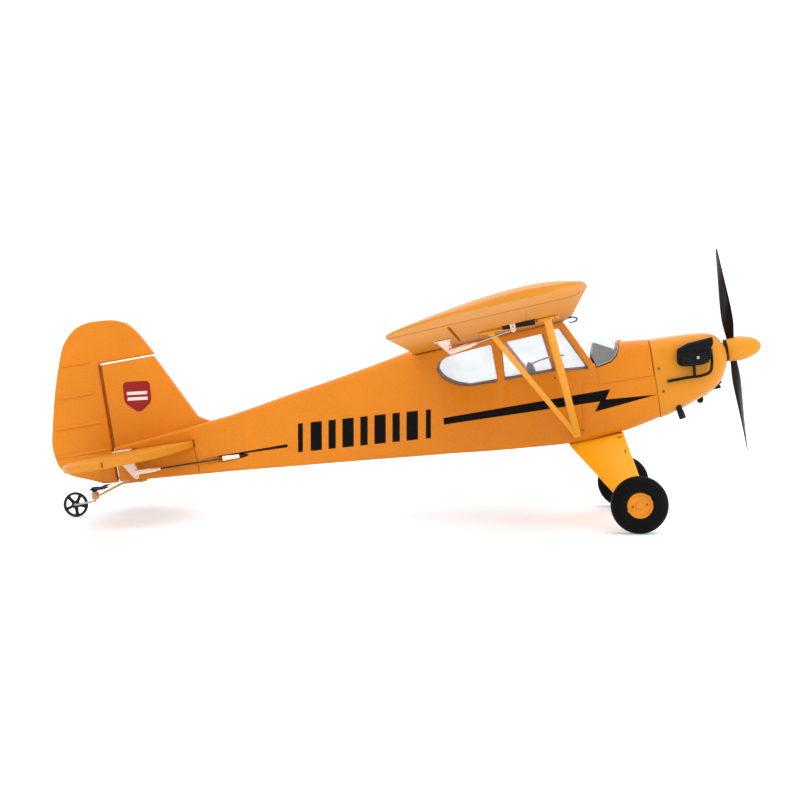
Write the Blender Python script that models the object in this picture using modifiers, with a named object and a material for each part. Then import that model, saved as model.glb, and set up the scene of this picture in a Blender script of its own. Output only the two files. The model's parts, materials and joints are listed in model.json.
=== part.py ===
"""RC foam airplane: a high-wing electric model with a tail wheel.

Everything is drawn in the aeroplane's own datum (metres, +X forward along the thrust line, +Y to
port, +Z up, zero on the thrust line inside the spinner) and hangs on the empty "airframe", which
stands it on its three wheels: +Z is then up from the ground, and the origin is under the middle
of its box.
"""
import math

import bmesh
import bpy
from mathutils import Matrix, Vector

# ---------------------------------------------------------------- driving dimensions (metres)
GAP = 0.0003                 # between pieces that touch

# Fuselage
CABIN_HALF = 0.028           # half width of the cabin
NOSE_END = -0.0590           # front face of the foam nose
WALL = 0.004                 # foam wall
# Stations of the fuselage: x, half width, top, rise of the top from the centre to the edge,
# bottom, width and height of the upper chamfer, radius of the lower edge
STATIONS = [
    (-0.0590, 0.0268, 0.0162, 0.0000, -0.0376, 0.009, 0.006, 0.009),
    (-0.0800, 0.0279, 0.0180, 0.0000, -0.0420, 0.009, 0.006, 0.006),
    (-0.0960, 0.0280, 0.0180, 0.0000, -0.0436, 0.009, 0.006, 0.004),
    (-0.0965, 0.0280, 0.0386, 0.0014, -0.0436, 0.001, 0.001, 0.004),
    (-0.1210, 0.0280, 0.0370, 0.0014, -0.0454, 0.001, 0.001, 0.004),
    (-0.1720, 0.0280, 0.0337, 0.0014, -0.0425, 0.001, 0.001, 0.004),
    (-0.2060, 0.0278, 0.0315, 0.0014, -0.0395, 0.001, 0.001, 0.004),
    (-0.2206, 0.0272, 0.0306, 0.0014, -0.0386, 0.001, 0.001, 0.004),
    (-0.2212, 0.0272, 0.0357, 0.0000, -0.0385, 0.007, 0.005, 0.004),
    (-0.2460, 0.0246, 0.0304, 0.0000, -0.0367, 0.007, 0.005, 0.004),
    (-0.2780, 0.0217, 0.0243, 0.0000, -0.0344, 0.006, 0.004, 0.004),
    (-0.3130, 0.0182, 0.0184, 0.0000, -0.0320, 0.006, 0.004, 0.003),
    (-0.3470, 0.0150, 0.0122, 0.0000, -0.0296, 0.005, 0.003, 0.003),
    (-0.3700, 0.0128, 0.0089, 0.0000, -0.0282, 0.004, 0.003, 0.003),
    (-0.4432, 0.0062, 0.0010, 0.0000, -0.0240, 0.002, 0.002, 0.002),
]
CAVITY_START = -0.063
CAVITY_END = -0.378

# Nose hatch and windshield
HATCH_SIDE_Z = -0.0082       # lower edge of the hatch
HATCH_REAR = -0.0970
# The hollow line in the hatch that takes the windshield, side view
SCREEN_SEAT = [(-0.0790, 0.0183), (-0.0800, 0.0140), (-0.0825, 0.0090), (-0.0870, 0.0055),
               (-0.0968, 0.0034)]
PILLAR_TOP = (-0.1152, 0.0385)
SCREEN_THICKNESS = 0.0006

# Window outlines, side view
WINDOWS = [
    [(-0.2064, 0.0194), (-0.2042, 0.0238), (-0.1985, 0.0270), (-0.1850, 0.0290),
     (-0.1662, 0.0308), (-0.1658, 0.0048), (-0.1860, 0.0046), (-0.1950, 0.0076),
     (-0.2030, 0.0130)],
    [(-0.1592, 0.0306), (-0.1298, 0.0326), (-0.1252, 0.0058), (-0.1606, 0.0052)],
    [(-0.1227, 0.0342), (-0.1178, 0.0346), (-0.1022, 0.0036), (-0.1188, 0.0046)],
]

# Wing
HALF_SPAN = 0.325
CHORD = 0.1115
WING_NOSE_X = -0.1078
WING_ROOT_Z = 0.0381         # lower surface at the nose, on the centreline
WING_SLOPE = 0.0641          # fall of the lower surface towards the trailing edge
DIHEDRAL = 0.0585            # rise per unit of span
WING_THICKNESS = 0.0100
TRAILING_THICKNESS = 0.0014
NOSE_RISE = 0.0026
HINGE_CHORD = 0.70
AILERON_INNER = 0.060
AILERON_OUTER = 0.256
AILERON_TRAVEL_GAP = 0.0010
TIP_START = 0.275
TIP_FULLNESS = 2.5           # power of the trailing edge's curve at the tip
JOINER_RADIUS = 0.0015
JOINER_HALF = 0.060
JOINER_CHORD = 0.30
SERVO_Y = 0.1243             # aileron servo centre
SERVO_X = -0.1460
SERVO_HALF_LENGTH = 0.0105
LINK_Y = 0.1323              # plane of the aileron arm, pushrod and horn
WING_ARM_X = -0.1498
WING_ARM_RISE = 0.0050       # arm's shaft above the wing's lower surface
WING_ARM_LENGTH = 0.0085
WING_HORN_DROP = 0.0123
WING_HORN_BACK = 0.0050
HORN_THICKNESS = 0.0012      # horns and servo arms

# Struts
STRUT_TOP_Y = 0.120
STRUT_FRONT_TOP_X = -0.1275
STRUT_REAR_TOP_X = -0.1645
STRUT_FOOT = (-0.1165, 0.0312, -0.0385)
STRUT_REAR_FOOT = (-0.1235, 0.0312, -0.0385)
STRUT_WIDTH = 0.0042
STRUT_THICKNESS = 0.0020

# Tail
STAB_Z = -0.005
STAB_THICKNESS = 0.005
ELEVATOR_HINGE_X = -0.4280
RUDDER_HINGE_X = -0.4450
FIN_THICKNESS = 0.007
FIN_TOP = 0.0600
RUDDER_BOTTOM = -0.0245
TAIL_ROD_Y = 0.0150
ELEVATOR_HORN_DROP = 0.0137
RUDDER_HORN_Z = -0.0220
RUDDER_HORN_REACH = 0.0125
TAIL_ARM_X = -0.2350
TAIL_ARM_LENGTH = 0.0090

# Wheels
WHEEL_RADIUS = 0.01904
WHEEL_WIDTH = 0.014
WHEEL_Y = 0.079
AXLE = (-0.08598, -0.08813)
AXLE_RADIUS = 0.0015
HUB_RADIUS = 0.0086
TAIL_WHEEL_RADIUS = 0.00902
TAIL_WHEEL_WIDTH = 0.0040
TAIL_AXLE = (-0.4792, -0.03545)
STEER_X = -0.4640

# Propulsion
PROP_RADIUS = 0.0712
PROP_X = -0.0012
# Propeller blade: share of the radius, chord, pitch in degrees
BLADE = [(0.060, 0.0042, 62), (0.16, 0.0075, 46), (0.28, 0.0112, 38), (0.42, 0.0122, 31),
         (0.60, 0.0110, 24), (0.80, 0.0080, 18), (0.94, 0.0050, 15), (1.00, 0.0022, 14)]
SPINNER_RADIUS = 0.0088
SPINNER_LENGTH = 0.0193      # tip, from the datum
SPINNER_BASE = -0.0046
SPINNER_BORE = 0.0060
COWL_FRONT = -0.0066

# Stance: the slope that rests all three wheels on the ground, and the box's middle
WHEEL_RUN = AXLE[0] - TAIL_AXLE[0]
WHEEL_RISE = TAIL_AXLE[1] - AXLE[1]
STANCE = math.atan2(WHEEL_RISE, WHEEL_RUN) - math.asin(
    (TAIL_WHEEL_RADIUS - WHEEL_RADIUS) / math.hypot(WHEEL_RUN, WHEEL_RISE))
DATUM_Z = WHEEL_RADIUS - AXLE[0] * math.sin(STANCE) - AXLE[1] * math.cos(STANCE)
DATUM_X = 0.232451

SIDES = (("right", -1), ("left", 1))


# ---------------------------------------------------------------- scene, materials, helpers
def clear_scene():
    for obj in list(bpy.data.objects):
        bpy.data.objects.remove(obj, do_unlink=True)


clear_scene()
PARTS = bpy.data.collections.new("rc_foam_airplane")
CUTTERS = bpy.data.collections.new("cutters")
bpy.context.scene.collection.children.link(PARTS)
bpy.context.scene.collection.children.link(CUTTERS)

AIRFRAME = bpy.data.objects.new("airframe", None)
PARTS.objects.link(AIRFRAME)
AIRFRAME.location = (DATUM_X, 0, DATUM_Z)
AIRFRAME.rotation_euler = (0, -STANCE, 0)


def make_material(name, colour, roughness, metallic=0.0):
    material = bpy.data.materials.new(name)
    material.use_nodes = True
    shader = material.node_tree.nodes["Principled BSDF"]
    shader.inputs["Base Color"].default_value = (*colour, 1)
    shader.inputs["Roughness"].default_value = roughness
    shader.inputs["Metallic"].default_value = metallic
    material.diffuse_color = (*colour, 1)
    return material


FOAM = make_material("yellow_foam", (0.80, 0.36, 0.03), 0.55)
YELLOW_PLASTIC = make_material("yellow_plastic", (0.85, 0.42, 0.05), 0.35)
BLACK_PLASTIC = make_material("black_plastic", (0.02, 0.02, 0.02), 0.4)
RUBBER = make_material("tyre_foam_rubber", (0.015, 0.015, 0.016), 0.8)
CLEAR = make_material("clear_film", (0.85, 0.87, 0.88), 0.1)
WHITE_PLASTIC = make_material("white_plastic", (0.82, 0.78, 0.74), 0.35)
STEEL = make_material("steel_wire", (0.45, 0.45, 0.46), 0.3, 1.0)
GREY_PLASTIC = make_material("grey_plastic", (0.06, 0.07, 0.08), 0.45)
MOTOR_METAL = make_material("motor_metal", (0.35, 0.33, 0.32), 0.3, 1.0)
BOARD = make_material("circuit_board", (0.02, 0.12, 0.07), 0.5)
PLYWOOD = make_material("plywood", (0.50, 0.34, 0.18), 0.6)
BATTERY_WRAP = make_material("battery_wrap", (0.05, 0.10, 0.30), 0.3)


def add_object(name, mesh, material, pivot=None, smooth=None):
    """Links a mesh drawn in the datum as a named piece; a pivot becomes its origin."""
    obj = bpy.data.objects.new(name, mesh)
    PARTS.objects.link(obj)
    obj.parent = AIRFRAME
    mesh.materials.clear()
    mesh.materials.append(material)
    if pivot is not None:
        mesh.transform(Matrix.Translation(-Vector(pivot)))
        obj.location = pivot
    if smooth is not None:
        mesh.shade_smooth()
        mesh.set_sharp_from_angle(angle=math.radians(smooth))
    return obj


def as_cutter(name, mesh):
    cutter = bpy.data.objects.new(name, mesh)
    CUTTERS.objects.link(cutter)
    cutter.parent = AIRFRAME
    cutter.hide_render = True
    cutter.display_type = "WIRE"
    return cutter


def boolean(obj, cutter, operation="DIFFERENCE"):
    modifier = obj.modifiers.new(cutter.name, "BOOLEAN")
    modifier.operation = operation
    modifier.object = cutter
    modifier.solver = "EXACT"
    return obj


def join_shapes(obj, name, meshes):
    """Joins further closed shapes to a piece, each by a Boolean union."""
    for number, mesh in enumerate(meshes):
        boolean(obj, as_cutter(f"{name}_join_{number}", mesh), "UNION")
    return obj


def mesh_from(bm, name):
    bmesh.ops.remove_doubles(bm, verts=bm.verts, dist=1e-7)
    bmesh.ops.recalc_face_normals(bm, faces=bm.faces)
    mesh = bpy.data.meshes.new(name)
    bm.to_mesh(mesh)
    bm.free()
    return mesh


def box_mesh(low, high, name="box"):
    low, high = Vector(low), Vector(high)
    bm = bmesh.new()
    bmesh.ops.create_cube(bm, size=1.0)
    bmesh.ops.scale(bm, vec=high - low, verts=bm.verts)
    bmesh.ops.translate(bm, vec=(low + high) / 2, verts=bm.verts)
    return mesh_from(bm, name)


def rod_mesh(start, end, radius, segments=16, end_radius=None, name="rod"):
    """A cylinder or cone between two points."""
    start, end = Vector(start), Vector(end)
    span = end - start
    bm = bmesh.new()
    bmesh.ops.create_cone(bm, cap_ends=True, segments=segments, radius1=radius,
                          radius2=radius if end_radius is None else end_radius,
                          depth=span.length)
    turn = Vector((0, 0, 1)).rotation_difference(span.normalized()).to_matrix().to_4x4()
    bmesh.ops.transform(bm, matrix=Matrix.Translation((start + end) / 2) @ turn, verts=bm.verts)
    return mesh_from(bm, name)


def curve_mesh(curve, matrix):
    """The evaluated mesh of a curve, welded, in the datum."""
    holder = bpy.data.objects.new("curve_holder", curve)
    PARTS.objects.link(holder)
    bpy.context.view_layer.update()
    evaluated = holder.evaluated_get(bpy.context.evaluated_depsgraph_get())
    mesh = bpy.data.meshes.new_from_object(evaluated)
    bpy.data.objects.remove(holder, do_unlink=True)
    mesh.transform(matrix)
    bm = bmesh.new()
    bm.from_mesh(mesh)
    bpy.data.meshes.remove(mesh)
    return mesh_from(bm, "from_curve")


# The ways a flat outline is read, each with the axis across it: (x, z) or (x, y)
SIDE_VIEW = (Matrix.Rotation(math.radians(90), 4, "X"), Vector((0, 1, 0)))
TOP_VIEW = (Matrix.Identity(4), Vector((0, 0, 1)))


def plate_mesh(outline, thickness, view, middle):
    """A flat outline with a thickness; middle is the plate's place across the view."""
    curve = bpy.data.curves.new("outline", "CURVE")
    curve.dimensions = "2D"
    curve.fill_mode = "BOTH"
    curve.extrude = thickness / 2
    spline = curve.splines.new("POLY")
    spline.points.add(len(outline) - 1)
    for point, (a, b) in zip(spline.points, outline):
        point.co = (a, b, 0, 1)
    spline.use_cyclic_u = True
    turn, across = view
    return curve_mesh(curve, Matrix.Translation(across * middle) @ turn)


def wire_mesh(points, radius, resolution=2):
    """A round wire along hand-set points, with its ends filled."""
    curve = bpy.data.curves.new("wire", "CURVE")
    curve.dimensions = "3D"
    curve.bevel_depth = radius
    curve.bevel_resolution = resolution
    curve.use_fill_caps = True
    spline = curve.splines.new("POLY")
    spline.points.add(len(points) - 1)
    for point, place in zip(spline.points, points):
        point.co = (*place, 1)
    return curve_mesh(curve, Matrix.Identity(4))


def loft_mesh(sections, name="loft"):
    """A closed solid through rings of points, all with the same count."""
    bm = bmesh.new()
    rings = [[bm.verts.new(point) for point in ring] for ring in sections]
    count = len(rings[0])
    for first, second in zip(rings, rings[1:]):
        for i in range(count):
            j = (i + 1) % count
            bm.faces.new((first[i], first[j], second[j], second[i]))
    bm.faces.new(rings[0])
    bm.faces.new(list(reversed(rings[-1])))
    bmesh.ops.triangulate(bm, faces=bm.faces)
    return mesh_from(bm, name)


def turned_object(name, profile, material, place, axis, segments=32):
    """A turned solid: (radius, height) points from the top down, spun about an axis; the
    profile is closed into a loop where it starts off the axis."""
    mesh = bpy.data.meshes.new(name)
    bm = bmesh.new()
    verts = [bm.verts.new((radius, 0, height)) for radius, height in profile]
    for first, second in zip(verts, verts[1:]):
        bm.edges.new((first, second))
    if profile[0][0] > 0:
        bm.edges.new((verts[-1], verts[0]))
    bm.to_mesh(mesh)
    bm.free()
    obj = bpy.data.objects.new(name, mesh)
    PARTS.objects.link(obj)
    obj.parent = AIRFRAME
    mesh.materials.append(material)
    obj.location = place
    turn = Vector((0, 0, 1)).rotation_difference(Vector(axis))
    obj.rotation_euler = turn.to_euler()
    screw = obj.modifiers.new("turn", "SCREW")
    screw.axis = "Z"
    screw.steps = segments
    screw.render_steps = segments
    screw.use_merge_vertices = True
    screw.merge_threshold = 1e-6
    screw.use_smooth_shade = True
    return obj


# ---------------------------------------------------------------- fuselage
def station_at(x):
    """The fuselage's section values at any x, between its stations."""
    for front, rear in zip(STATIONS, STATIONS[1:]):
        if rear[0] <= x <= front[0]:
            share = (front[0] - x) / (front[0] - rear[0])
            return [f + share * (r - f) for f, r in zip(front, rear)]
    return STATIONS[0] if x > STATIONS[0][0] else STATIONS[-1]


def belly(x):
    return station_at(x)[4]


def half_section(station, side, inset=0.0, lift=0.0):
    """One side of a section, from the top centre round to the bottom centre."""
    x, half, top, rise, bottom, chamfer_w, chamfer_h, radius = station
    half, top, bottom = half - inset, top - inset + lift, bottom + inset
    edge = top + rise
    y0 = GAP / 2
    points = [(y0, top), (half - chamfer_w, edge), (half, edge - chamfer_h),
              (half, bottom + radius), (half - 0.29 * radius, bottom + 0.29 * radius),
              (half - radius, bottom), (y0, bottom)]
    return [(x, side * y, z) for y, z in points]


def cavity_mesh(side):
    """The hollow of one half, open to the wing above the cabin."""
    stations = [s for s in STATIONS if CAVITY_END < s[0] < CAVITY_START]
    stations = [station_at(CAVITY_START)] + stations + [station_at(CAVITY_END)]
    rings = []
    for station in stations:
        under_wing = station[0] > -0.2135 and station[0] < -0.090
        ring = half_section(station, side, WALL, 0.014 if under_wing else 0.0)
        for index in (0, 6):
            ring[index] = (ring[index][0], -side * 0.002, ring[index][2])
        rings.append(ring)
    return loft_mesh(rings, "cavity")


def elevator_rod_line(x):
    """Height of the elevator pushrod at x: a straight line from the horn to the exit."""
    return STAB_Z - ELEVATOR_HORN_DROP + (x - ELEVATOR_HINGE_X) * 0.002


def tail_rod_y(x):
    return TAIL_ROD_Y - (x - ELEVATOR_HINGE_X) * 0.030


def rudder_rod_line(x):
    return RUDDER_HORN_Z + (x - RUDDER_HINGE_X) * 0.125


def rudder_rod_y(x):
    return RUDDER_HORN_REACH + 0.0028 - (x - RUDDER_HINGE_X) * 0.028


def make_fuselage():
    nose_cut = plate_mesh([(-0.050, HATCH_SIDE_Z), (HATCH_REAR - GAP, HATCH_SIDE_Z),
                           (HATCH_REAR - GAP, 0.0030), PILLAR_TOP,
                           (PILLAR_TOP[0], 0.060), (-0.050, 0.060)], 0.08, SIDE_VIEW, 0)
    shared = [as_cutter("hatch_opening", nose_cut)]
    for number, outline in enumerate(WINDOWS):
        shared.append(as_cutter(f"window_{number}", plate_mesh(outline, 0.08, SIDE_VIEW, 0)))
    slot_half = STAB_THICKNESS / 2 + GAP
    shared.append(as_cutter("stabilizer_slot", box_mesh(
        (ELEVATOR_HINGE_X, -0.03, STAB_Z - slot_half), (-0.3846, 0.03, STAB_Z + slot_half))))
    shared.append(as_cutter("elevator_joiner_hole", rod_mesh(
        (ELEVATOR_HINGE_X, -0.03, STAB_Z), (ELEVATOR_HINGE_X, 0.03, STAB_Z), 0.0030)))
    for name, side in SIDES:
        rings = [half_section(station, side) for station in STATIONS]
        half = add_object(f"fuselage_{name}", loft_mesh(rings), FOAM, smooth=30)
        boolean(half, as_cutter(f"cavity_{name}", cavity_mesh(side)))
        for cutter in shared:
            boolean(half, cutter)
        line, spread = ((elevator_rod_line, tail_rod_y) if side < 0
                        else (rudder_rod_line, rudder_rod_y))
        ends = [(x, side * spread(x), line(x)) for x in (-0.312, -0.392)]
        boolean(half, as_cutter(f"pushrod_exit_{name}", rod_mesh(*ends, 0.0024)))


def make_hatch():
    front, rear = NOSE_END - GAP, HATCH_REAR
    stations = [station_at(front), STATIONS[1], (rear, *STATIONS[2][1:])]
    rings = []
    for station in stations:
        right = half_section(station, -1)
        left = half_section(station, 1)
        rings.append([(x, 0.0 if abs(y) < GAP else y, z) for x, y, z in right + left[-2:0:-1]])
    hatch = add_object("hatch", loft_mesh(rings), FOAM, smooth=30)
    below = box_mesh((-0.12, -0.05, -0.06), (-0.05, 0.05, HATCH_SIDE_Z + GAP))
    boolean(hatch, as_cutter("hatch_below", below))
    above = [(SCREEN_SEAT[0][0], 0.05)] + SCREEN_SEAT + [(-0.1100, 0.0020), (-0.1100, 0.05)]
    boolean(hatch, as_cutter("screen_seat", plate_mesh(above, 0.08, SIDE_VIEW, 0)))
    inner = [(s[0] + shift, *s[1:]) for s, shift in zip(stations, (-WALL, 0, -0.005))]
    hollow = []
    for x, half, top, _, _, chamfer_w, chamfer_h, _ in inner:
        half, top = half - WALL, top - WALL
        hollow.append([(x, -half, -0.02), (x, -half, top - chamfer_h),
                       (x, chamfer_w - half, top), (x, half - chamfer_w, top),
                       (x, half, top - chamfer_h), (x, half, -0.02)])
    boolean(hatch, as_cutter("hatch_hollow", loft_mesh(hollow)))


def make_windshield():
    """A thin folded sheet from the hatch's sloping rear face up to the wing's nose."""
    lift = 0.0006
    foot = [(-0.0793, 0.0, 0.0181), (-0.0793, 0.0170, 0.0180), (-0.0800, 0.0225, 0.0150),
            (-0.0812, 0.0272, 0.0120), (-0.0838, 0.0274, 0.0080), (-0.0870, 0.0274, 0.0057),
            (-0.0966, 0.0274, 0.0036)]
    head = [(-0.1052, 0.0, 0.0398), (-0.1054, 0.0170, 0.0402), (-0.1057, 0.0225, 0.0402),
            (-0.1059, 0.0268, 0.0400), (-0.1061, 0.0271, 0.0396), (-0.1062, 0.0273, 0.0391),
            (-0.1064, 0.0274, 0.0385)]
    foot = [(x - lift, y, z + lift) for x, y, z in foot]
    rows = []
    for share in (0.0, 1.0):
        port = [tuple(Vector(a).lerp(Vector(b), share)) for a, b in zip(foot, head)]
        rows.append([(x, -y, z) for x, y, z in port[:0:-1]] + port)
    bm = bmesh.new()
    verts = [[bm.verts.new(point) for point in row] for row in rows]
    for i in range(len(rows[0]) - 1):
        bm.faces.new((verts[0][i], verts[0][i + 1], verts[1][i + 1], verts[1][i]))
    screen = add_object("windshield", mesh_from(bm, "windshield"), CLEAR)
    shell = screen.modifiers.new("thickness", "SOLIDIFY")
    shell.thickness = SCREEN_THICKNESS
    shell.offset = 0
    shell.use_even_offset = True


def make_glazing():
    outline = [(-0.2085, 0.0020), (-0.0995, 0.0020), (-0.0995, 0.0040), (-0.1090, 0.0360),
               (-0.1180, 0.0362), (-0.2085, 0.0300)]
    inner = CABIN_HALF - WALL - GAP - 0.0006
    for name, side in SIDES:
        add_object(f"glazing_{name}", plate_mesh(outline, 0.0006, SIDE_VIEW, side * inner), CLEAR)


# ---------------------------------------------------------------- wing and ailerons
def thickness_at(chord_share, thick):
    """Thickness of the wing section, with a thick trailing edge."""
    c = chord_share
    shape = 0.2969 * math.sqrt(c) - 0.126 * c - 0.3516 * c**2 + 0.2843 * c**3 - 0.1036 * c**4
    return thick * shape / 0.1 + TRAILING_THICKNESS * c


def lower_at(chord_share):
    return NOSE_RISE * max(0.0, 1 - chord_share / 0.10) ** 2


def wing_point(chord_share, y, height):
    """A point of the wing; height is above the flat lower surface."""
    x = WING_NOSE_X - chord_share * CHORD
    return (x, y, WING_ROOT_Z + abs(y) * DIHEDRAL - chord_share * CHORD * WING_SLOPE + height)


def under_wing(x, y):
    """Height of the wing's lower surface behind its nose."""
    return WING_ROOT_Z + abs(y) * DIHEDRAL + (x - WING_NOSE_X) * WING_SLOPE


def wing_ring(y, side):
    """The wing's section at y, narrowed and thinned towards the round tip."""
    tip = max(0.0, (y - TIP_START) / (HALF_SPAN - TIP_START))
    nose = max(0.0, (y - 0.288) / (HALF_SPAN - 0.288))
    rear_edge = 0.36 + 0.64 * (1 - tip**TIP_FULLNESS) ** (1 / TIP_FULLNESS)
    front_edge = 0.22 * (1 - math.sqrt(1 - nose**2))
    thick = WING_THICKNESS * (1 - 0.68 * tip**3)
    raise_by = 0.3 * (WING_THICKNESS - thick)
    shares = [1.0, 0.85, 0.70, 0.55, 0.40, 0.28, 0.17, 0.09, 0.04, 0.012, 0.0]
    ring = []
    for c in shares:
        place = front_edge + c * (rear_edge - front_edge)
        height = raise_by + lower_at(c) + thickness_at(c, thick)
        ring.append(wing_point(place, side * y, height))
    for c in (0.03, 0.10, 0.40, 0.70, 1.0):
        place = front_edge + c * (rear_edge - front_edge)
        bow = 0.0016 * tip * c * (1 - c)
        ring.append(wing_point(place, side * y, raise_by + lower_at(c) - bow))
    return ring


def hinge_point(y, side):
    """The aileron's hinge axis: the middle of the section at the hinge."""
    middle = thickness_at(HINGE_CHORD, WING_THICKNESS) / 2
    return Vector(wing_point(HINGE_CHORD, side * y, middle))


def joiner_path(half):
    ends = []
    for y in (-half, 0.0, half):
        ends.append(wing_point(JOINER_CHORD, y, WING_THICKNESS * 0.46))
    return ends


def make_wing():
    spans = [GAP / 2, 0.130, TIP_START, 0.289, 0.301, 0.311, 0.3185, 0.323, HALF_SPAN]
    joiner_bore = as_cutter("joiner_bore", wire_mesh(joiner_path(JOINER_HALF + 0.001),
                                                     JOINER_RADIUS + GAP))
    for name, side in SIDES:
        panel = add_object(f"wing_{name}", loft_mesh([wing_ring(y, side) for y in spans]), FOAM,
                           smooth=35)
        hinge = hinge_point(AILERON_INNER, side)
        opening = box_mesh((-0.24, side * (AILERON_INNER - 0.0004), 0.0),
                           (hinge.x + AILERON_TRAVEL_GAP, side * (AILERON_OUTER + 0.0004), 0.1))
        boolean(panel, as_cutter(f"aileron_opening_{name}", opening))
        base = under_wing(SERVO_X, SERVO_Y)
        reach = SERVO_HALF_LENGTH + GAP
        pocket = box_mesh((SERVO_X - reach, side * 0.1185, base - 0.005),
                          (SERVO_X + reach, side * 0.1345, base + 0.0078))
        boolean(panel, as_cutter(f"servo_pocket_{name}", pocket))
        boolean(panel, joiner_bore)
        make_aileron(name, side)
        make_aileron_drive(name, side)
    add_object("wing_joiner", wire_mesh(joiner_path(JOINER_HALF), JOINER_RADIUS), STEEL)


def make_aileron(name, side):
    rings = []
    for y in (AILERON_INNER, AILERON_OUTER):
        ring = []
        for c in (1.0, 0.90, 0.80, 0.7064):
            ring.append(wing_point(c, side * y, thickness_at(c, WING_THICKNESS)))
        for c in (0.7064, 0.85, 1.0):
            ring.append(wing_point(c, side * y, 0.0))
        rings.append(ring)
    pivot = hinge_point(LINK_Y, side)
    add_object(f"aileron_{name}", loft_mesh(rings), FOAM, pivot)


def make_aileron_drive(name, side):
    """Servo, arm, pushrod and horn, all in the plane y = LINK_Y."""
    y = side * LINK_Y
    base = under_wing(SERVO_X, SERVO_Y)
    servo = add_object(f"aileron_servo_{name}", box_mesh(
        (SERVO_X - SERVO_HALF_LENGTH, side * 0.1190, base - 0.0025),
        (SERVO_X + SERVO_HALF_LENGTH, side * 0.1290, base + 0.0066)), BLACK_PLASTIC)
    shaft = Vector((WING_ARM_X, y, base + WING_ARM_RISE))
    boss = rod_mesh((shaft.x, side * 0.1285, shaft.z), (shaft.x, side * 0.1312, shaft.z), 0.0018)
    join_shapes(servo, f"servo_boss_{name}", [boss])

    tip = shaft + Vector((0, 0, -WING_ARM_LENGTH))
    outline = capsule((shaft.x, shaft.z), (tip.x, tip.z), 0.0022, 0.0015)
    add_object(f"aileron_arm_{name}", plate_mesh(outline, HORN_THICKNESS, SIDE_VIEW, y),
               WHITE_PLASTIC, shaft)

    hinge = hinge_point(LINK_Y, side)
    hole = hinge + Vector((-WING_HORN_BACK, 0, -WING_HORN_DROP))
    skin = Vector(wing_point(0.78, y, -GAP))
    foot = [(skin.x + 0.0042, skin.z + 0.0002), (hole.x + 0.0016, hole.z),
            (hole.x, hole.z - 0.0018), (hole.x - 0.0018, hole.z),
            (skin.x - 0.0045, skin.z - 0.0003)]
    horn = add_object(f"aileron_horn_{name}", plate_mesh(foot, HORN_THICKNESS, SIDE_VIEW, y),
                      WHITE_PLASTIC, hinge)
    lean = WING_SLOPE * 0.0050
    spread = side * 0.0042
    flange = [(skin.x + 0.0050, y - spread, skin.z + lean - abs(spread) * DIHEDRAL),
              (skin.x + 0.0050, y + spread, skin.z + lean - abs(spread) * DIHEDRAL),
              (skin.x - 0.0050, y + spread, skin.z - lean - abs(spread) * DIHEDRAL),
              (skin.x - 0.0050, y - spread, skin.z - lean - abs(spread) * DIHEDRAL)]
    lower = [(x, py, z - 0.0010) for x, py, z in flange]
    join_shapes(horn, f"aileron_horn_flange_{name}", [loft_mesh([flange, lower])])

    start = tip + Vector((-0.0022, 0, -0.0002))
    end = hole + Vector((0.0008, 0, 0.0))
    make_pushrod(f"aileron_pushrod_{name}", start, end)


def capsule(first, second, first_radius, second_radius, steps=6):
    """Outline round two discs of different size."""
    ax, az = first
    bx, bz = second
    heading = math.atan2(bz - az, bx - ax)
    points = []
    for k in range(steps + 1):
        turn = heading + math.pi / 2 + math.pi * k / steps
        points.append((ax + first_radius * math.cos(turn), az + first_radius * math.sin(turn)))
    for k in range(steps + 1):
        turn = heading - math.pi / 2 + math.pi * k / steps
        points.append((bx + second_radius * math.cos(turn), bz + second_radius * math.sin(turn)))
    return points


def make_pushrod(name, start, end):
    """A steel wire with a clevis; the clevis's two cheeks stand clear of the horn's blade."""
    start, end = Vector(start), Vector(end)
    along = (end - start).normalized()
    root = end - along * 0.0130
    rod = add_object(name, wire_mesh([start, root + along * 0.002], 0.0006), STEEL,
                     (start + end) / 2)
    half_slot = HORN_THICKNESS / 2 + 0.0005
    shapes = []
    for cheek in (-1, 1):
        inner, outer = cheek * half_slot, cheek * (half_slot + 0.0010)
        rings = []
        for place in (end + along * 0.0016, root + along * 0.0032):
            rings.append([place + Vector((0, py, pz)) for py, pz in
                          ((inner, -0.0016), (outer, -0.0016), (outer, 0.0016), (inner, 0.0016))])
        shapes.append(loft_mesh(rings))
    rings = []
    for place in (root + along * 0.0036, root - along * 0.0010):
        reach = half_slot + 0.0010
        rings.append([place + Vector((0, py, pz)) for py, pz in
                      ((-reach, -0.0016), (reach, -0.0016), (reach, 0.0016), (-reach, 0.0016))])
    shapes.append(loft_mesh(rings))
    join_shapes(rod, name, shapes)


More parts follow.
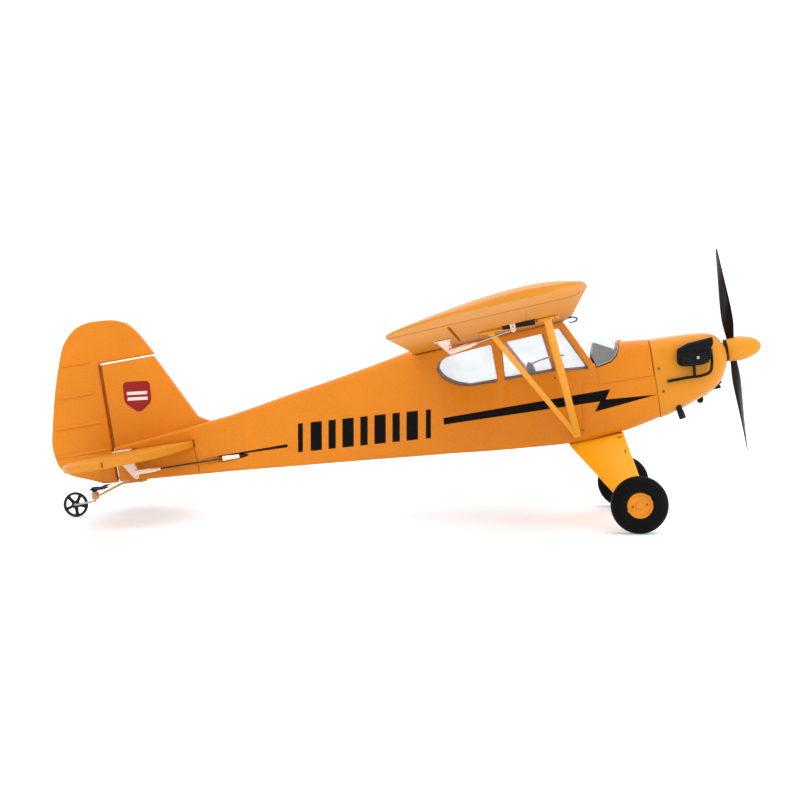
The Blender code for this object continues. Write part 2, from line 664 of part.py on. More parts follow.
def make_struts():
    for name, side in SIDES:
        for end, top_x, foot in (("front", STRUT_FRONT_TOP_X, STRUT_FOOT),
                                 ("rear", STRUT_REAR_TOP_X, STRUT_REAR_FOOT)):
            top_z = under_wing(top_x, STRUT_TOP_Y) - GAP
            top = Vector((top_x, side * STRUT_TOP_Y, top_z - 0.0010))
            low = Vector((foot[0], side * foot[1], foot[2]))
            across = Vector((STRUT_WIDTH / 2, 0, 0))
            along = (low - top).normalized()
            thin = along.cross(Vector((1, 0, 0))).normalized() * (STRUT_THICKNESS / 2)
            rings = [[p - across - thin, p + across - thin, p + across + thin, p - across + thin]
                     for p in (top, low)]
            strut = add_object(f"strut_{end}_{name}", loft_mesh(rings), YELLOW_PLASTIC)
            flange = []
            for drop in (0.0, 0.0016):
                flange.append([(top_x + dx, side * (STRUT_TOP_Y + dy),
                                top_z + dx * WING_SLOPE + dy * DIHEDRAL - drop)
                               for dx, dy in ((-0.0074, -0.0035), (0.0074, -0.0035),
                                              (0.0074, 0.0035), (-0.0074, 0.0035))])
            lug_low = low + Vector((0, side * 0.0012, -0.0010))
            lug_high = low + Vector((0, -side * 0.0026, -0.0010))
            join_shapes(strut, f"strut_{end}_{name}",
                        [loft_mesh(flange), rod_mesh(lug_low, lug_high, 0.0031)])


# ---------------------------------------------------------------- tail
def make_tail():
    plan = [(-0.3850, 0.0), (-0.3860, 0.020), (-0.3895, 0.045), (-0.3960, 0.072),
            (-0.4050, 0.094), (-0.4190, 0.1080), (-0.4274, 0.1098)]
    outline = plan + [(x, -y) for x, y in plan[:0:-1]]
    stab = add_object("stabilizer", plate_mesh(outline, STAB_THICKNESS, TOP_VIEW, STAB_Z), FOAM)
    clearance = rod_mesh((ELEVATOR_HINGE_X, -0.0150, STAB_Z), (ELEVATOR_HINGE_X, 0.0150, STAB_Z),
                         0.0021)
    boolean(stab, as_cutter("joiner_clearance", clearance))
    make_elevator()
    fin = [(RUDDER_HINGE_X + 0.0018, deck(-0.4432) + GAP), (RUDDER_HINGE_X + 0.0018, FIN_TOP),
           (-0.4052, FIN_TOP + 0.0006), (-0.3810, 0.0138), (-0.3772, 0.0112),
           (-0.3700, deck(-0.3700) + GAP)]
    add_object("fin", plate_mesh(fin, FIN_THICKNESS, SIDE_VIEW, 0), FOAM)
    make_rudder()
    make_tail_drive()


def deck(x):
    """Height of the fuselage's top on the centreline."""
    return station_at(x)[2]


def make_elevator():
    pivot = (ELEVATOR_HINGE_X, 0, STAB_Z)
    front = ELEVATOR_HINGE_X - 0.0007
    plan = [(front, 0.0092), (front, 0.1100), (-0.4400, 0.1090), (-0.4520, 0.1035),
            (-0.4590, 0.0920), (-0.4630, 0.0720), (-0.4640, 0.0480), (-0.4640, 0.0180),
            (-0.4500, 0.0104), (-0.4420, 0.0092)]
    right = plate_mesh([(x, -y) for x, y in plan], STAB_THICKNESS, TOP_VIEW, STAB_Z)
    left = plate_mesh(plan, STAB_THICKNESS, TOP_VIEW, STAB_Z)
    elevator = add_object("elevator", right, FOAM, pivot)
    bar = rod_mesh((ELEVATOR_HINGE_X, -0.0130, STAB_Z), (ELEVATOR_HINGE_X, 0.0130, STAB_Z),
                   0.0016)
    join_shapes(elevator, "elevator", [bar, left])

    y = -TAIL_ROD_Y
    under = STAB_Z - STAB_THICKNESS / 2 - GAP
    hole = (ELEVATOR_HINGE_X - 0.0005, STAB_Z - ELEVATOR_HORN_DROP)
    blade = [(front - 0.0008, under), (hole[0] + 0.0018, hole[1]),
             (hole[0] + 0.0014, hole[1] - 0.0036), (hole[0] - 0.0004, hole[1] - 0.0048),
             (hole[0] - 0.0024, hole[1] - 0.0030), (-0.4400, under)]
    horn = add_object("elevator_horn", plate_mesh(blade, HORN_THICKNESS, SIDE_VIEW, y),
                      WHITE_PLASTIC, pivot)
    flange = box_mesh((-0.4425, y - 0.0040, under - 0.0010), (front - 0.0006, y + 0.0040, under))
    join_shapes(horn, "elevator_horn", [flange])


def make_rudder():
    front = RUDDER_HINGE_X - 0.0005
    top = FIN_TOP + 0.0015
    outline = [(front, RUDDER_BOTTOM), (-0.4560, -0.0235), (-0.4655, -0.0195),
               (-0.4780, -0.0145), (-0.4850, -0.0085), (-0.4882, 0.0010), (-0.4885, 0.0100),
               (-0.4866, 0.0200), (-0.4795, 0.0480), (-0.4705, 0.0743), (-0.4655, 0.0822),
               (-0.4592, 0.0880), (-0.4525, 0.0910), (-0.4440, 0.0920), (-0.4322, 0.0912),
               (-0.4255, 0.0893), (-0.4190, 0.0855), (-0.4126, 0.0772), (-0.4042, top + 0.0005),
               (front + 0.0020, top), (front, top - 0.0005)]
    pivot = (RUDDER_HINGE_X, 0, 0)
    add_object("rudder", plate_mesh(outline, FIN_THICKNESS, SIDE_VIEW, 0), FOAM, pivot)

    side_face = FIN_THICKNESS / 2 + GAP
    reach = RUDDER_HORN_REACH
    blade = [(front - 0.0030, side_face), (RUDDER_HINGE_X + 0.0018, reach),
             (RUDDER_HINGE_X, reach + 0.0020), (RUDDER_HINGE_X - 0.0024, reach),
             (front - 0.0105, side_face)]
    horn = add_object("rudder_horn", plate_mesh(blade, HORN_THICKNESS, TOP_VIEW, RUDDER_HORN_Z),
                      WHITE_PLASTIC, pivot)
    flange = box_mesh((front - 0.0120, side_face, RUDDER_HORN_Z - 0.0008),
                      (front - 0.0008, side_face + 0.0010, RUDDER_HORN_Z + 0.0040))
    join_shapes(horn, "rudder_horn", [flange])


def make_tail_drive():
    """Pushrods, guide tubes, servos and arms of the elevator (right) and the rudder (left)."""
    drives = (("elevator", "right", -1, elevator_rod_line, tail_rod_y,
               ELEVATOR_HINGE_X + 0.0008),
              ("rudder", "left", 1, rudder_rod_line, rudder_rod_y,
               RUDDER_HINGE_X + 0.0046))
    for name, side_name, side, line, spread, rear in drives:
        def on_rod(x, line=line, spread=spread, side=side):
            return Vector((x, side * spread(x), line(x)))

        make_pushrod(f"{name}_pushrod", on_rod(TAIL_ARM_X - 0.0025), on_rod(rear))
        guide = add_object(f"guide_tube_{side_name}", rod_mesh(on_rod(-0.3540), on_rod(-0.3660),
                                                               0.0018), WHITE_PLASTIC)
        bore = rod_mesh(on_rod(-0.3500), on_rod(-0.3700), 0.0009, 12)
        boolean(guide, as_cutter(f"guide_bore_{side_name}", bore))

        tip = on_rod(TAIL_ARM_X)
        shaft = tip + Vector((0, 0, -TAIL_ARM_LENGTH))
        outline = capsule((shaft.x, shaft.z), (tip.x, tip.z), 0.0024, 0.0016)
        add_object(f"{name}_arm", plate_mesh(outline, HORN_THICKNESS, SIDE_VIEW, shaft.y),
                   WHITE_PLASTIC, shaft)
        inner = abs(shaft.y) - 0.0018
        case = box_mesh((shaft.x - 0.0060, side * 0.0012, shaft.z - 0.0049),
                        (shaft.x + 0.0160, side * (inner - 0.0016), shaft.z + 0.0045))
        servo = add_object(f"{name}_servo", case, BLACK_PLASTIC)
        boss = rod_mesh((shaft.x, side * (inner - 0.0020), shaft.z),
                        (shaft.x, side * (inner + 0.0008), shaft.z), 0.0020)
        ears = box_mesh((shaft.x - 0.0085, side * 0.0020, shaft.z - 0.0049),
                        (shaft.x + 0.0185, side * 0.0032, shaft.z + 0.0045))
        join_shapes(servo, f"{name}_servo", [boss, ears])


def make_tail_wheel():
    """The tail bracket, the steered wire strut with its tiller, and the wheel."""
    z_under = -0.0244 - GAP
    strap = [(-0.4250, belly(-0.4250) - GAP), (-0.4432, z_under), (-0.4480, -0.0262),
             (-0.4640, -0.0318), (-0.4640, -0.0333), (-0.4470, -0.0278), (-0.4420, -0.0262),
             (-0.4250, belly(-0.4250) - GAP - 0.0014)]
    bracket = add_object("tail_bracket", plate_mesh(strap, 0.0060, SIDE_VIEW, 0), YELLOW_PLASTIC)
    barrel = rod_mesh((STEER_X, 0, -0.0338), (STEER_X, 0, -0.0290), 0.0027)
    join_shapes(bracket, "tail_bracket", [barrel])
    bore = rod_mesh((STEER_X, 0, -0.040), (STEER_X, 0, -0.020), 0.0011, 12)
    boolean(bracket, as_cutter("tail_bracket_bore", bore))

    axle_y = TAIL_WHEEL_WIDTH / 2 + 0.0012
    ax, az = TAIL_AXLE
    strut = add_object("tail_wheel_strut", wire_mesh(
        [(STEER_X, 0, -0.0262), (STEER_X, 0, -0.0342), (STEER_X - 0.0004, -0.0003, -0.0349),
         (STEER_X - 0.0045, -axle_y, -0.0352), (ax + 0.0010, -axle_y, az),
         (ax, 0.0006 - axle_y, az), (ax, TAIL_WHEEL_WIDTH / 2 + 0.0008, az)], 0.0007), STEEL,
        (STEER_X, 0, -0.0300))
    tiller = box_mesh((STEER_X - 0.0016, -0.0070, -0.0270), (STEER_X + 0.0016, 0.0070, -0.0254))
    collar = rod_mesh((STEER_X, 0, -0.0287), (STEER_X, 0, -0.0250), 0.0020)
    join_shapes(strut, "tail_wheel_strut", [tiller, collar])

    wheel = add_object("tail_wheel", rod_mesh((ax, -TAIL_WHEEL_WIDTH / 2, az),
                                              (ax, TAIL_WHEEL_WIDTH / 2, az),
                                              TAIL_WHEEL_RADIUS, 40), BLACK_PLASTIC, (ax, 0, az))
    boolean(wheel, as_cutter("tail_wheel_bore", rod_mesh((ax, -0.01, az), (ax, 0.01, az),
                                                         0.0011, 12)))
    spokes = 5
    inner, outer = 0.0030, TAIL_WHEEL_RADIUS - 0.0019
    for k in range(spokes):
        middle = math.radians(90) + 2 * math.pi * k / spokes
        spread = math.radians(22)
        arc = [middle - spread + 2 * spread * i / 4 for i in range(5)]
        outline = [(ax + outer * math.cos(a), az + outer * math.sin(a)) for a in arc]
        outline += [(ax + inner * math.cos(a), az + inner * math.sin(a))
                    for a in (middle + spread * 0.5, middle - spread * 0.5)]
        boolean(wheel, as_cutter(f"tail_wheel_window_{k}",
                                 plate_mesh(outline, 0.02, SIDE_VIEW, 0)))


# ---------------------------------------------------------------- undercarriage
def make_undercarriage():
    ax, az = AXLE
    bend_y, foot_y = 0.0240, WHEEL_Y - WHEEL_WIDTH / 2 - 0.0045
    top_front, top_rear = -0.0858, -0.1235
    low_front, low_rear = -0.0785, -0.0925
    clear = GAP + 0.0015
    rows = [[(low_rear, -foot_y, az - 0.0035), (low_front, -foot_y, az - 0.0035)],
            [(top_rear, -bend_y, belly(top_rear) - clear), (top_front, -bend_y,
                                                            belly(top_front) - clear)]]
    rows += [[(x, -y, z) for x, y, z in row] for row in reversed(rows)]
    bm = bmesh.new()
    verts = [[bm.verts.new(point) for point in row] for row in rows]
    for first, second in zip(verts, verts[1:]):
        bm.faces.new((first[0], first[1], second[1], second[0]))
    gear = add_object("landing_gear", mesh_from(bm, "landing_gear"), YELLOW_PLASTIC)
    shell = gear.modifiers.new("thickness", "SOLIDIFY")
    shell.thickness = 0.0022
    shell.offset = 0
    stubs = [rod_mesh((ax, side * (foot_y - 0.0060), az),
                      (ax, side * (WHEEL_Y + 0.0042), az), AXLE_RADIUS) for _, side in SIDES]
    join_shapes(gear, "landing_gear_axle", stubs)
    for name, side in SIDES:
        make_wheel(name, side)


def make_wheel(name, side):
    """A soft tyre on a hub whose blind bore runs on the axle stub."""
    centre = (AXLE[0], side * WHEEL_Y, AXLE[1])
    half, outer, inner = WHEEL_WIDTH / 2, WHEEL_RADIUS, HUB_RADIUS + GAP
    corner = 0.0048
    profile = [(inner, half - 0.0010)]
    for k in range(6):
        turn = math.radians(90 - 18 * k)
        profile.append((outer - corner + corner * math.cos(turn),
                        half - corner + corner * math.sin(turn)))
    profile += [(radius, -height) for radius, height in reversed(profile)]
    turned_object(f"tyre_{name}", profile, RUBBER, centre, (0, side, 0), 40)
    bore, depth = AXLE_RADIUS + GAP, 0.0046
    hub = [(0.0, half - 0.0004), (0.0072, half - 0.0004), (HUB_RADIUS, half - 0.0012),
           (HUB_RADIUS, -half + 0.0012), (0.0072, -half + 0.0006), (bore, -half + 0.0006),
           (bore, depth), (0.0, depth)]
    turned_object(f"hub_{name}", hub, YELLOW_PLASTIC, centre, (0, side, 0), 32)


# ---------------------------------------------------------------- nose: cowl, motor, propeller
def cowl_ring(x, half, top, bottom, corner):
    """A rounded section: three points on each of its four corners."""
    ring = []
    for cy, cz, start in ((half - corner, top - corner, 0), (corner - half, top - corner, 90),
                          (corner - half, bottom + corner, 180),
                          (half - corner, bottom + corner, 270)):
        for k in range(4):
            turn = math.radians(start + 30 * k)
            ring.append((x, cy + corner * math.cos(turn), cz + corner * math.sin(turn)))
    return ring


def make_cowl():
    # x, half width, top, bottom, corner radius
    stations = [(-0.0587, 0.0268, 0.0162, -0.0382, 0.0090),
                (-0.0450, 0.0268, 0.0158, -0.0346, 0.0100),
                (-0.0300, 0.0258, 0.0153, -0.0292, 0.0110),
                (-0.0200, 0.0240, 0.0147, -0.0248, 0.0120),
                (-0.0130, 0.0208, 0.0124, -0.0198, 0.0120),
                (-0.0085, 0.0155, 0.0068, -0.0125, 0.0090),
                (COWL_FRONT, 0.0110, 0.0020, -0.0070, 0.0040)]
    cowl = add_object("cowl", loft_mesh([cowl_ring(*s) for s in stations]), YELLOW_PLASTIC,
                      smooth=40)
    wall = 0.0016
    inner = [(x - (0.003 if x > -0.02 else 0.0), half - wall, top - wall, bottom + wall, corner)
             for x, half, top, bottom, corner in stations[:-1]]
    inner[0] = (-0.065, *inner[0][1:])
    boolean(cowl, as_cutter("cowl_hollow", loft_mesh([cowl_ring(*s) for s in inner])))
    boolean(cowl, as_cutter("cowl_front_hole", rod_mesh((-0.02, 0, 0), (0.01, 0, 0), 0.0060, 24)))
    chin = box_mesh((-0.0255, -0.0100, -0.0320), (-0.0140, 0.0100, -0.0150))
    boolean(cowl, as_cutter("chin_intake", chin))
    plate_z = (-0.0330, 0.0130)
    add_object("firewall", box_mesh((NOSE_END + GAP, -0.0190, plate_z[0]),
                                    (NOSE_END + GAP + 0.0020, 0.0190, plate_z[1])), PLYWOOD)
    block = [(-0.0430, -0.0020), (-0.0415, 0.0074), (-0.0337, 0.0103), (-0.0164, 0.0120),
             (-0.0164, 0.0068), (-0.0185, 0.0044), (-0.0199, -0.0047), (-0.0334, -0.0057),
             (-0.0400, -0.0053)]
    for name, side in SIDES:
        add_object(f"engine_block_{name}", plate_mesh(block, 0.0046, SIDE_VIEW, side * 0.0294),
                   BLACK_PLASTIC)
    add_object("exhaust_stub", rod_mesh((-0.0454, -0.0230, -0.0343), (-0.0441, -0.0230, -0.0406),
                                        0.0024), BLACK_PLASTIC)


def make_power():
    back = NOSE_END + GAP + 0.0020 + GAP
    stator = add_object("motor_stator", rod_mesh((back, 0, 0), (back + 0.0030, 0, 0), 0.0115, 24),
                        MOTOR_METAL)
    join_shapes(stator, "motor_stator", [
        rod_mesh((back + 0.001, 0, 0), (back + 0.0170, 0, 0), 0.0070, 24),
        rod_mesh((back + 0.001, 0, 0), (back + 0.0060, 0, 0), 0.0085, 24)])
    boolean(stator, as_cutter("stator_bore", rod_mesh((-0.065, 0, 0), (0, 0, 0), 0.0020)))
    bell_rear, bell_front = back + 0.0068, back + 0.0225
    bell = add_object("motor_bell", rod_mesh((bell_rear, 0, 0), (bell_front, 0, 0), 0.0095, 24),
                      MOTOR_METAL, (0, 0, 0))
    boolean(bell, as_cutter("bell_hollow", rod_mesh((back, 0, 0), (bell_front - 0.0030, 0, 0),
                                                    0.0080, 24)))
    join_shapes(bell, "motor_shaft", [rod_mesh((back + 0.0020, 0, 0), (PROP_X - 0.0038, 0, 0),
                                               0.0013, 12),
                                      rod_mesh((bell_front - 0.001, 0, 0),
                                               (PROP_X - 0.0038, 0, 0), 0.0032, 16)])
    make_propeller()
    make_spinner()


def make_spinner():
    """A cone with a hollow skirt, slotted for the blades."""
    profile = [(0.0, SPINNER_LENGTH)]
    for k in range(1, 6):
        turn = math.radians(15 * k)
        profile.append((SPINNER_RADIUS * math.sin(turn) ** 0.9,
                        0.0006 + (SPINNER_LENGTH - 0.0006) * math.cos(turn) ** 1.1))
    profile += [(SPINNER_RADIUS, 0.0006), (SPINNER_RADIUS - 0.0003, SPINNER_BASE),
                (SPINNER_BORE, SPINNER_BASE), (SPINNER_BORE, 0.0028), (0.0, 0.0028)]
    spinner = turned_object("spinner", profile, YELLOW_PLASTIC, (0, 0, 0), (1, 0, 0), 32)
    slots = box_mesh((SPINNER_BASE - 0.0014, -0.0034, -0.0200), (0.0024, 0.0034, 0.0200))
    boolean(spinner, as_cutter("blade_slots", slots))


def make_propeller():
    """Two twisted blades on a hub inside the spinner; blades stand up and down at rest."""
    rings = []
    for share, chord, degrees in BLADE:
        radius = share * PROP_RADIUS
        pitch = math.radians(degrees)
        thick = 0.0026 * (1 - share) + 0.0007
        forward = Vector((math.sin(pitch), -math.cos(pitch), 0))
        normal = Vector((math.cos(pitch), math.sin(pitch), 0))
        middle = Vector((PROP_X, 0, radius))
        rings.append([middle + forward * (chord * a) + normal * (thick * b) for a, b in
                      ((-0.5, 0.0), (-0.2, 0.5), (0.25, 0.45), (0.5, 0.0), (0.2, -0.4),
                       (-0.25, -0.4))])
    blade = loft_mesh(rings)
    other = blade.copy()
    other.transform(Matrix.Rotation(math.pi, 4, "X"))
    hub = rod_mesh((PROP_X - 0.0035, 0, 0), (PROP_X + 0.0036, 0, 0), SPINNER_BORE - 0.0005, 24)
    prop = add_object("propeller", hub, BLACK_PLASTIC, (0, 0, 0))
    join_shapes(prop, "propeller", [blade, other])


# ---------------------------------------------------------------- inside
def make_inside():
    """Battery, flight board, instrument panel, seat and the aileron lead."""
    floor_front, floor_rear = belly(-0.068) + WALL, belly(-0.114) + WALL
    tilt = math.atan2(floor_front - floor_rear, 0.046)
    battery = add_object("battery", box_mesh((-0.023, -0.0130, 0.0), (0.023, 0.0130, 0.0150)),
                         BATTERY_WRAP)
    battery.location = (-0.0910, 0, (floor_front + floor_rear) / 2 + 0.0011)
    battery.rotation_euler = (0, -tilt, 0)
    floor = belly(-0.152) + WALL + 0.0012
    add_object("flight_board", box_mesh((-0.1690, -0.0110, floor), (-0.1350, 0.0110,
                                                                     floor + 0.0060)), BOARD)
    panel = [(-0.0946, 0.0020), (-0.0994, 0.0085), (-0.0953, 0.0200), (-0.0834, 0.0139),
             (-0.0822, 0.0093)]
    add_object("instrument_panel", plate_mesh(panel, 0.0400, SIDE_VIEW, 0), GREY_PLASTIC)
    seat = [(-0.1440, -0.0006), (-0.1445, 0.0114), (-0.1425, 0.0142), (-0.1395, 0.0119),
            (-0.1375, 0.0024), (-0.1200, 0.0014), (-0.1200, -0.0006)]
    seat_piece = add_object("seat", plate_mesh(seat, 0.0240, SIDE_VIEW, 0), GREY_PLASTIC)
    legs = [box_mesh((-0.1425, side * 0.0030, floor + 0.0066), (-0.1390, side * 0.0070, 0.0000))
            for _, side in SIDES]
    join_shapes(seat_piece, "seat", legs)


def make_aileron_lead():
    """The thin lead that shows as a loop ahead of the wing root on the right."""
    loop = []
    for k in range(13):
        turn = math.radians(-130 + 260 * k / 12)
        loop.append((-0.1088 + 0.0033 * math.cos(turn), -0.0302 - 0.0010 * math.cos(turn),
                     0.0388 + 0.0017 * math.sin(turn)))
    add_object("aileron_lead", wire_mesh(loop, 0.0005), BLACK_PLASTIC)


make_fuselage()
make_hatch()
make_windshield()
make_glazing()
make_wing()
make_struts()
make_tail()
make_tail_wheel()
make_undercarriage()
make_cowl()
make_power()
make_inside()
make_aileron_lead()
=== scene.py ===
"""Looks of the rc foam airplane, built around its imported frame.

Shapes are drawn in the aeroplane's datum (metres, +X forward along the thrust line, +Y to port,
+Z up, zero on the thrust line inside the spinner) and set in place by the DATUM matrix, which
is read from the propeller's joint.
"""
import json
import math

import bmesh
import bpy
from mathutils import Matrix, Vector


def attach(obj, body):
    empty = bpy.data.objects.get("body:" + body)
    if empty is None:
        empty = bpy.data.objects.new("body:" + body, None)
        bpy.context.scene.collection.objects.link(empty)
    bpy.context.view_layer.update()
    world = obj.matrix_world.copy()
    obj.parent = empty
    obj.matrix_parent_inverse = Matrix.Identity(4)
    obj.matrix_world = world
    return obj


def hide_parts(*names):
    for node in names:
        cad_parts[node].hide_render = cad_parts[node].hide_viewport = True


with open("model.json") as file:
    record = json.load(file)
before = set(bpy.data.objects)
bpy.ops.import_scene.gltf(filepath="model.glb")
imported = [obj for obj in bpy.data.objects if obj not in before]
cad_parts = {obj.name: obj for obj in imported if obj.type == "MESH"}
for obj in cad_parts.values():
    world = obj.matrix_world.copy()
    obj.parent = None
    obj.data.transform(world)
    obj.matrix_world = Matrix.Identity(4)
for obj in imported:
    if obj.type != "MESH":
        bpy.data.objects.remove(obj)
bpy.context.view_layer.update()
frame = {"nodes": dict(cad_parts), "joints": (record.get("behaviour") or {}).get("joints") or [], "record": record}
JOINTS = {joint["name"]: joint for joint in frame["joints"]}

SPIN = JOINTS["propeller_spin"]
STANCE = math.atan2(SPIN["axis"][2], SPIN["axis"][0])
DATUM = Matrix.Translation(SPIN["pos_m"]) @ Matrix.Rotation(-STANCE, 4, "Y")
SIDES = (("right", -1), ("left", 1))
CORNERS = ((-1, -1), (1, -1), (1, 1), (-1, 1))
SEAM = 0.0003
FINE_SEAM = 0.00012          # shown between foam pieces that are pressed together

# Fuselage stations: x, half width, top, rise of the top from centre to edge, bottom, width and
# height of the upper corner, radius of the lower corner
NOSE_ROWS = [
    (-0.0590, 0.0268, 0.0162, 0.0000, -0.0376, 0.009, 0.006, 0.009),
    (-0.0800, 0.0279, 0.0180, 0.0000, -0.0420, 0.009, 0.006, 0.006),
    (-0.0960, 0.0280, 0.0180, 0.0000, -0.0436, 0.009, 0.006, 0.004),
]
CABIN_ROWS = [
    (-0.0965, 0.0280, 0.0386, 0.0014, -0.0436, 0.001, 0.001, 0.004),
    (-0.1210, 0.0280, 0.0370, 0.0014, -0.0454, 0.001, 0.001, 0.004),
    (-0.1720, 0.0280, 0.0337, 0.0014, -0.0425, 0.001, 0.001, 0.004),
    (-0.2060, 0.0278, 0.0315, 0.0014, -0.0395, 0.001, 0.001, 0.004),
    (-0.2206, 0.0272, 0.0306, 0.0014, -0.0386, 0.001, 0.001, 0.004),
]
TAIL_ROWS = [
    (-0.2212, 0.0272, 0.0357, 0.0000, -0.0385, 0.007, 0.005, 0.004),
    (-0.2460, 0.0246, 0.0304, 0.0000, -0.0367, 0.007, 0.005, 0.004),
    (-0.2780, 0.0217, 0.0243, 0.0000, -0.0344, 0.006, 0.004, 0.004),
    (-0.3130, 0.0182, 0.0184, 0.0000, -0.0320, 0.006, 0.004, 0.003),
    (-0.3470, 0.0150, 0.0122, 0.0000, -0.0296, 0.005, 0.003, 0.003),
    (-0.3700, 0.0128, 0.0089, 0.0000, -0.0282, 0.004, 0.003, 0.003),
    (-0.4432, 0.0062, 0.0010, 0.0000, -0.0240, 0.002, 0.002, 0.002),
]
WALL = 0.004
CAVITY_FRONT, CAVITY_REAR = -0.063, -0.378
ROOF_OPENING = (-0.2135, -0.090)     # where the hollow is open upwards, mostly under the wing
THROUGH = 0.08                       # a side-view cutter's width, right through the fuselage
HATCH_SIDE_Z = -0.0082
HATCH_REAR = -0.0970
NOSE_END = -0.0590
SCREEN_SEAT = [(-0.0790, 0.0183), (-0.0800, 0.0140), (-0.0825, 0.0090), (-0.0870, 0.0055),
               (-0.0968, 0.0034)]
PILLAR_TOP = (-0.1152, 0.0385)
WINDOWS = [
    [(-0.2064, 0.0194), (-0.2042, 0.0238), (-0.1985, 0.0270), (-0.1850, 0.0290),
     (-0.1662, 0.0308), (-0.1658, 0.0048), (-0.1860, 0.0046), (-0.1950, 0.0076),
     (-0.2030, 0.0130)],
    [(-0.1592, 0.0306), (-0.1298, 0.0326), (-0.1252, 0.0058), (-0.1606, 0.0052)],
    [(-0.1227, 0.0342), (-0.1178, 0.0346), (-0.1022, 0.0036), (-0.1188, 0.0046)],
]

# Wing
HALF_SPAN, CHORD = 0.325, 0.1115
WING_NOSE_X, WING_ROOT_Z = -0.1078, 0.0381
WING_SLOPE, DIHEDRAL = 0.0641, 0.0585
WING_THICKNESS, TRAILING_THICKNESS, NOSE_RISE = 0.0100, 0.0014, 0.0026
HINGE_CHORD, AILERON_INNER, AILERON_OUTER = 0.70, 0.060, 0.256
TIP_START, TIP_NOSE_START, TIP_FULLNESS = 0.275, 0.288, 2.5
MOULD_LINE_CHORD, MOULD_LINE_SPAN = 0.30, (0.060, 0.250)
SERVO_X, SERVO_Y, SERVO_HALF = -0.1460, 0.1243, 0.0105
LINK_Y, WING_ARM_X, WING_ARM_RISE, WING_ARM_LENGTH = 0.1323, -0.1498, 0.0050, 0.0085
WING_HORN_DROP, WING_HORN_BACK = 0.0123, 0.0050

# Tail
STAB_Z, STAB_THICKNESS = -0.005, 0.005
ELEVATOR_HINGE_X, RUDDER_HINGE_X = -0.4280, -0.4450
FIN_THICKNESS, FIN_TOP, RUDDER_BOTTOM = 0.007, 0.0600, -0.0245
TAIL_ROD_Y, ELEVATOR_HORN_DROP = 0.0150, 0.0137
RUDDER_HORN_Z, RUDDER_HORN_REACH = -0.0220, 0.0125
TAIL_ARM_X, TAIL_ARM_LENGTH = -0.2350, 0.0090
STEER_X, TAIL_AXLE = -0.4640, (-0.4792, -0.03545)
TAIL_WHEEL_RADIUS, TAIL_WHEEL_WIDTH = 0.00902, 0.0040

# Wheels, struts, nose
AXLE = (-0.08598, -0.08813)
WHEEL_RADIUS, WHEEL_WIDTH, WHEEL_Y, HUB_RADIUS = 0.01904, 0.014, 0.079, 0.0086
STRUT_TOP_Y, STRUT_FRONT_TOP_X, STRUT_REAR_TOP_X = 0.120, -0.1275, -0.1645
STRUT_FOOT = (-0.1165, 0.0312, -0.0385)
PROP_RADIUS, PROP_X = 0.07118, -0.0012
SPINNER_RADIUS, SPINNER_LENGTH, SPINNER_BASE, SPINNER_BORE = 0.0088, 0.0192, -0.0046, 0.0060
# Propeller blade stations: share of the radius, chord, pitch in degrees
BLADE_ROWS = [(0.085, 0.0050, 58), (0.16, 0.0075, 46), (0.28, 0.0112, 38), (0.42, 0.0122, 31),
              (0.60, 0.0110, 24), (0.80, 0.0080, 18), (0.94, 0.0050, 15), (1.00, 0.0022, 14)]

# Camera: place in metres, turns in radians, sensor and lens in millimetres
CAMERA_PLACE = (0.07349, -1.200, 0.14592)
CAMERA_YAW, CAMERA_PITCH, CAMERA_ROLL = 0.0622, 0.0513, -0.0036
CAMERA_SENSOR, CAMERA_LENS = 36.0, 76.44285


# ---------------------------------------------------------------- materials
def set_inputs(node, values):
    """Sets a node's inputs; an underscore in a name stands for a space."""
    for socket, value in values.items():
        node.inputs[socket.replace("_", " ")].default_value = value
    return node


def link_noise(nodes, links, where, scale, detail=3.0):
    """The value of a noise texture."""
    noise = set_inputs(nodes.new("ShaderNodeTexNoise"), {"Scale": scale, "Detail": detail})
    links.new(where, noise.inputs["Vector"])
    return noise.outputs["Fac"]


def map_range(nodes, links, value, low, high, start=0.3, end=0.7):
    """A value's run from start to end stretched to low to high."""
    mapped = set_inputs(nodes.new("ShaderNodeMapRange"),
                        {"From_Min": start, "From_Max": end, "To_Min": low, "To_Max": high})
    links.new(value, mapped.inputs["Value"])
    return mapped.outputs["Result"]


def bump(nodes, links, height, normal, strength, distance):
    """A normal raised by a height value."""
    node = set_inputs(nodes.new("ShaderNodeBump"), {"Strength": strength, "Distance": distance})
    links.new(height, node.inputs["Height"])
    links.new(normal, node.inputs["Normal"])
    return node.outputs["Normal"]


def mix_colour(nodes, blend="MIX"):
    """A node that mixes two colours."""
    node = nodes.new("ShaderNodeMix")
    node.data_type = "RGBA"
    node.blend_type = blend
    return node


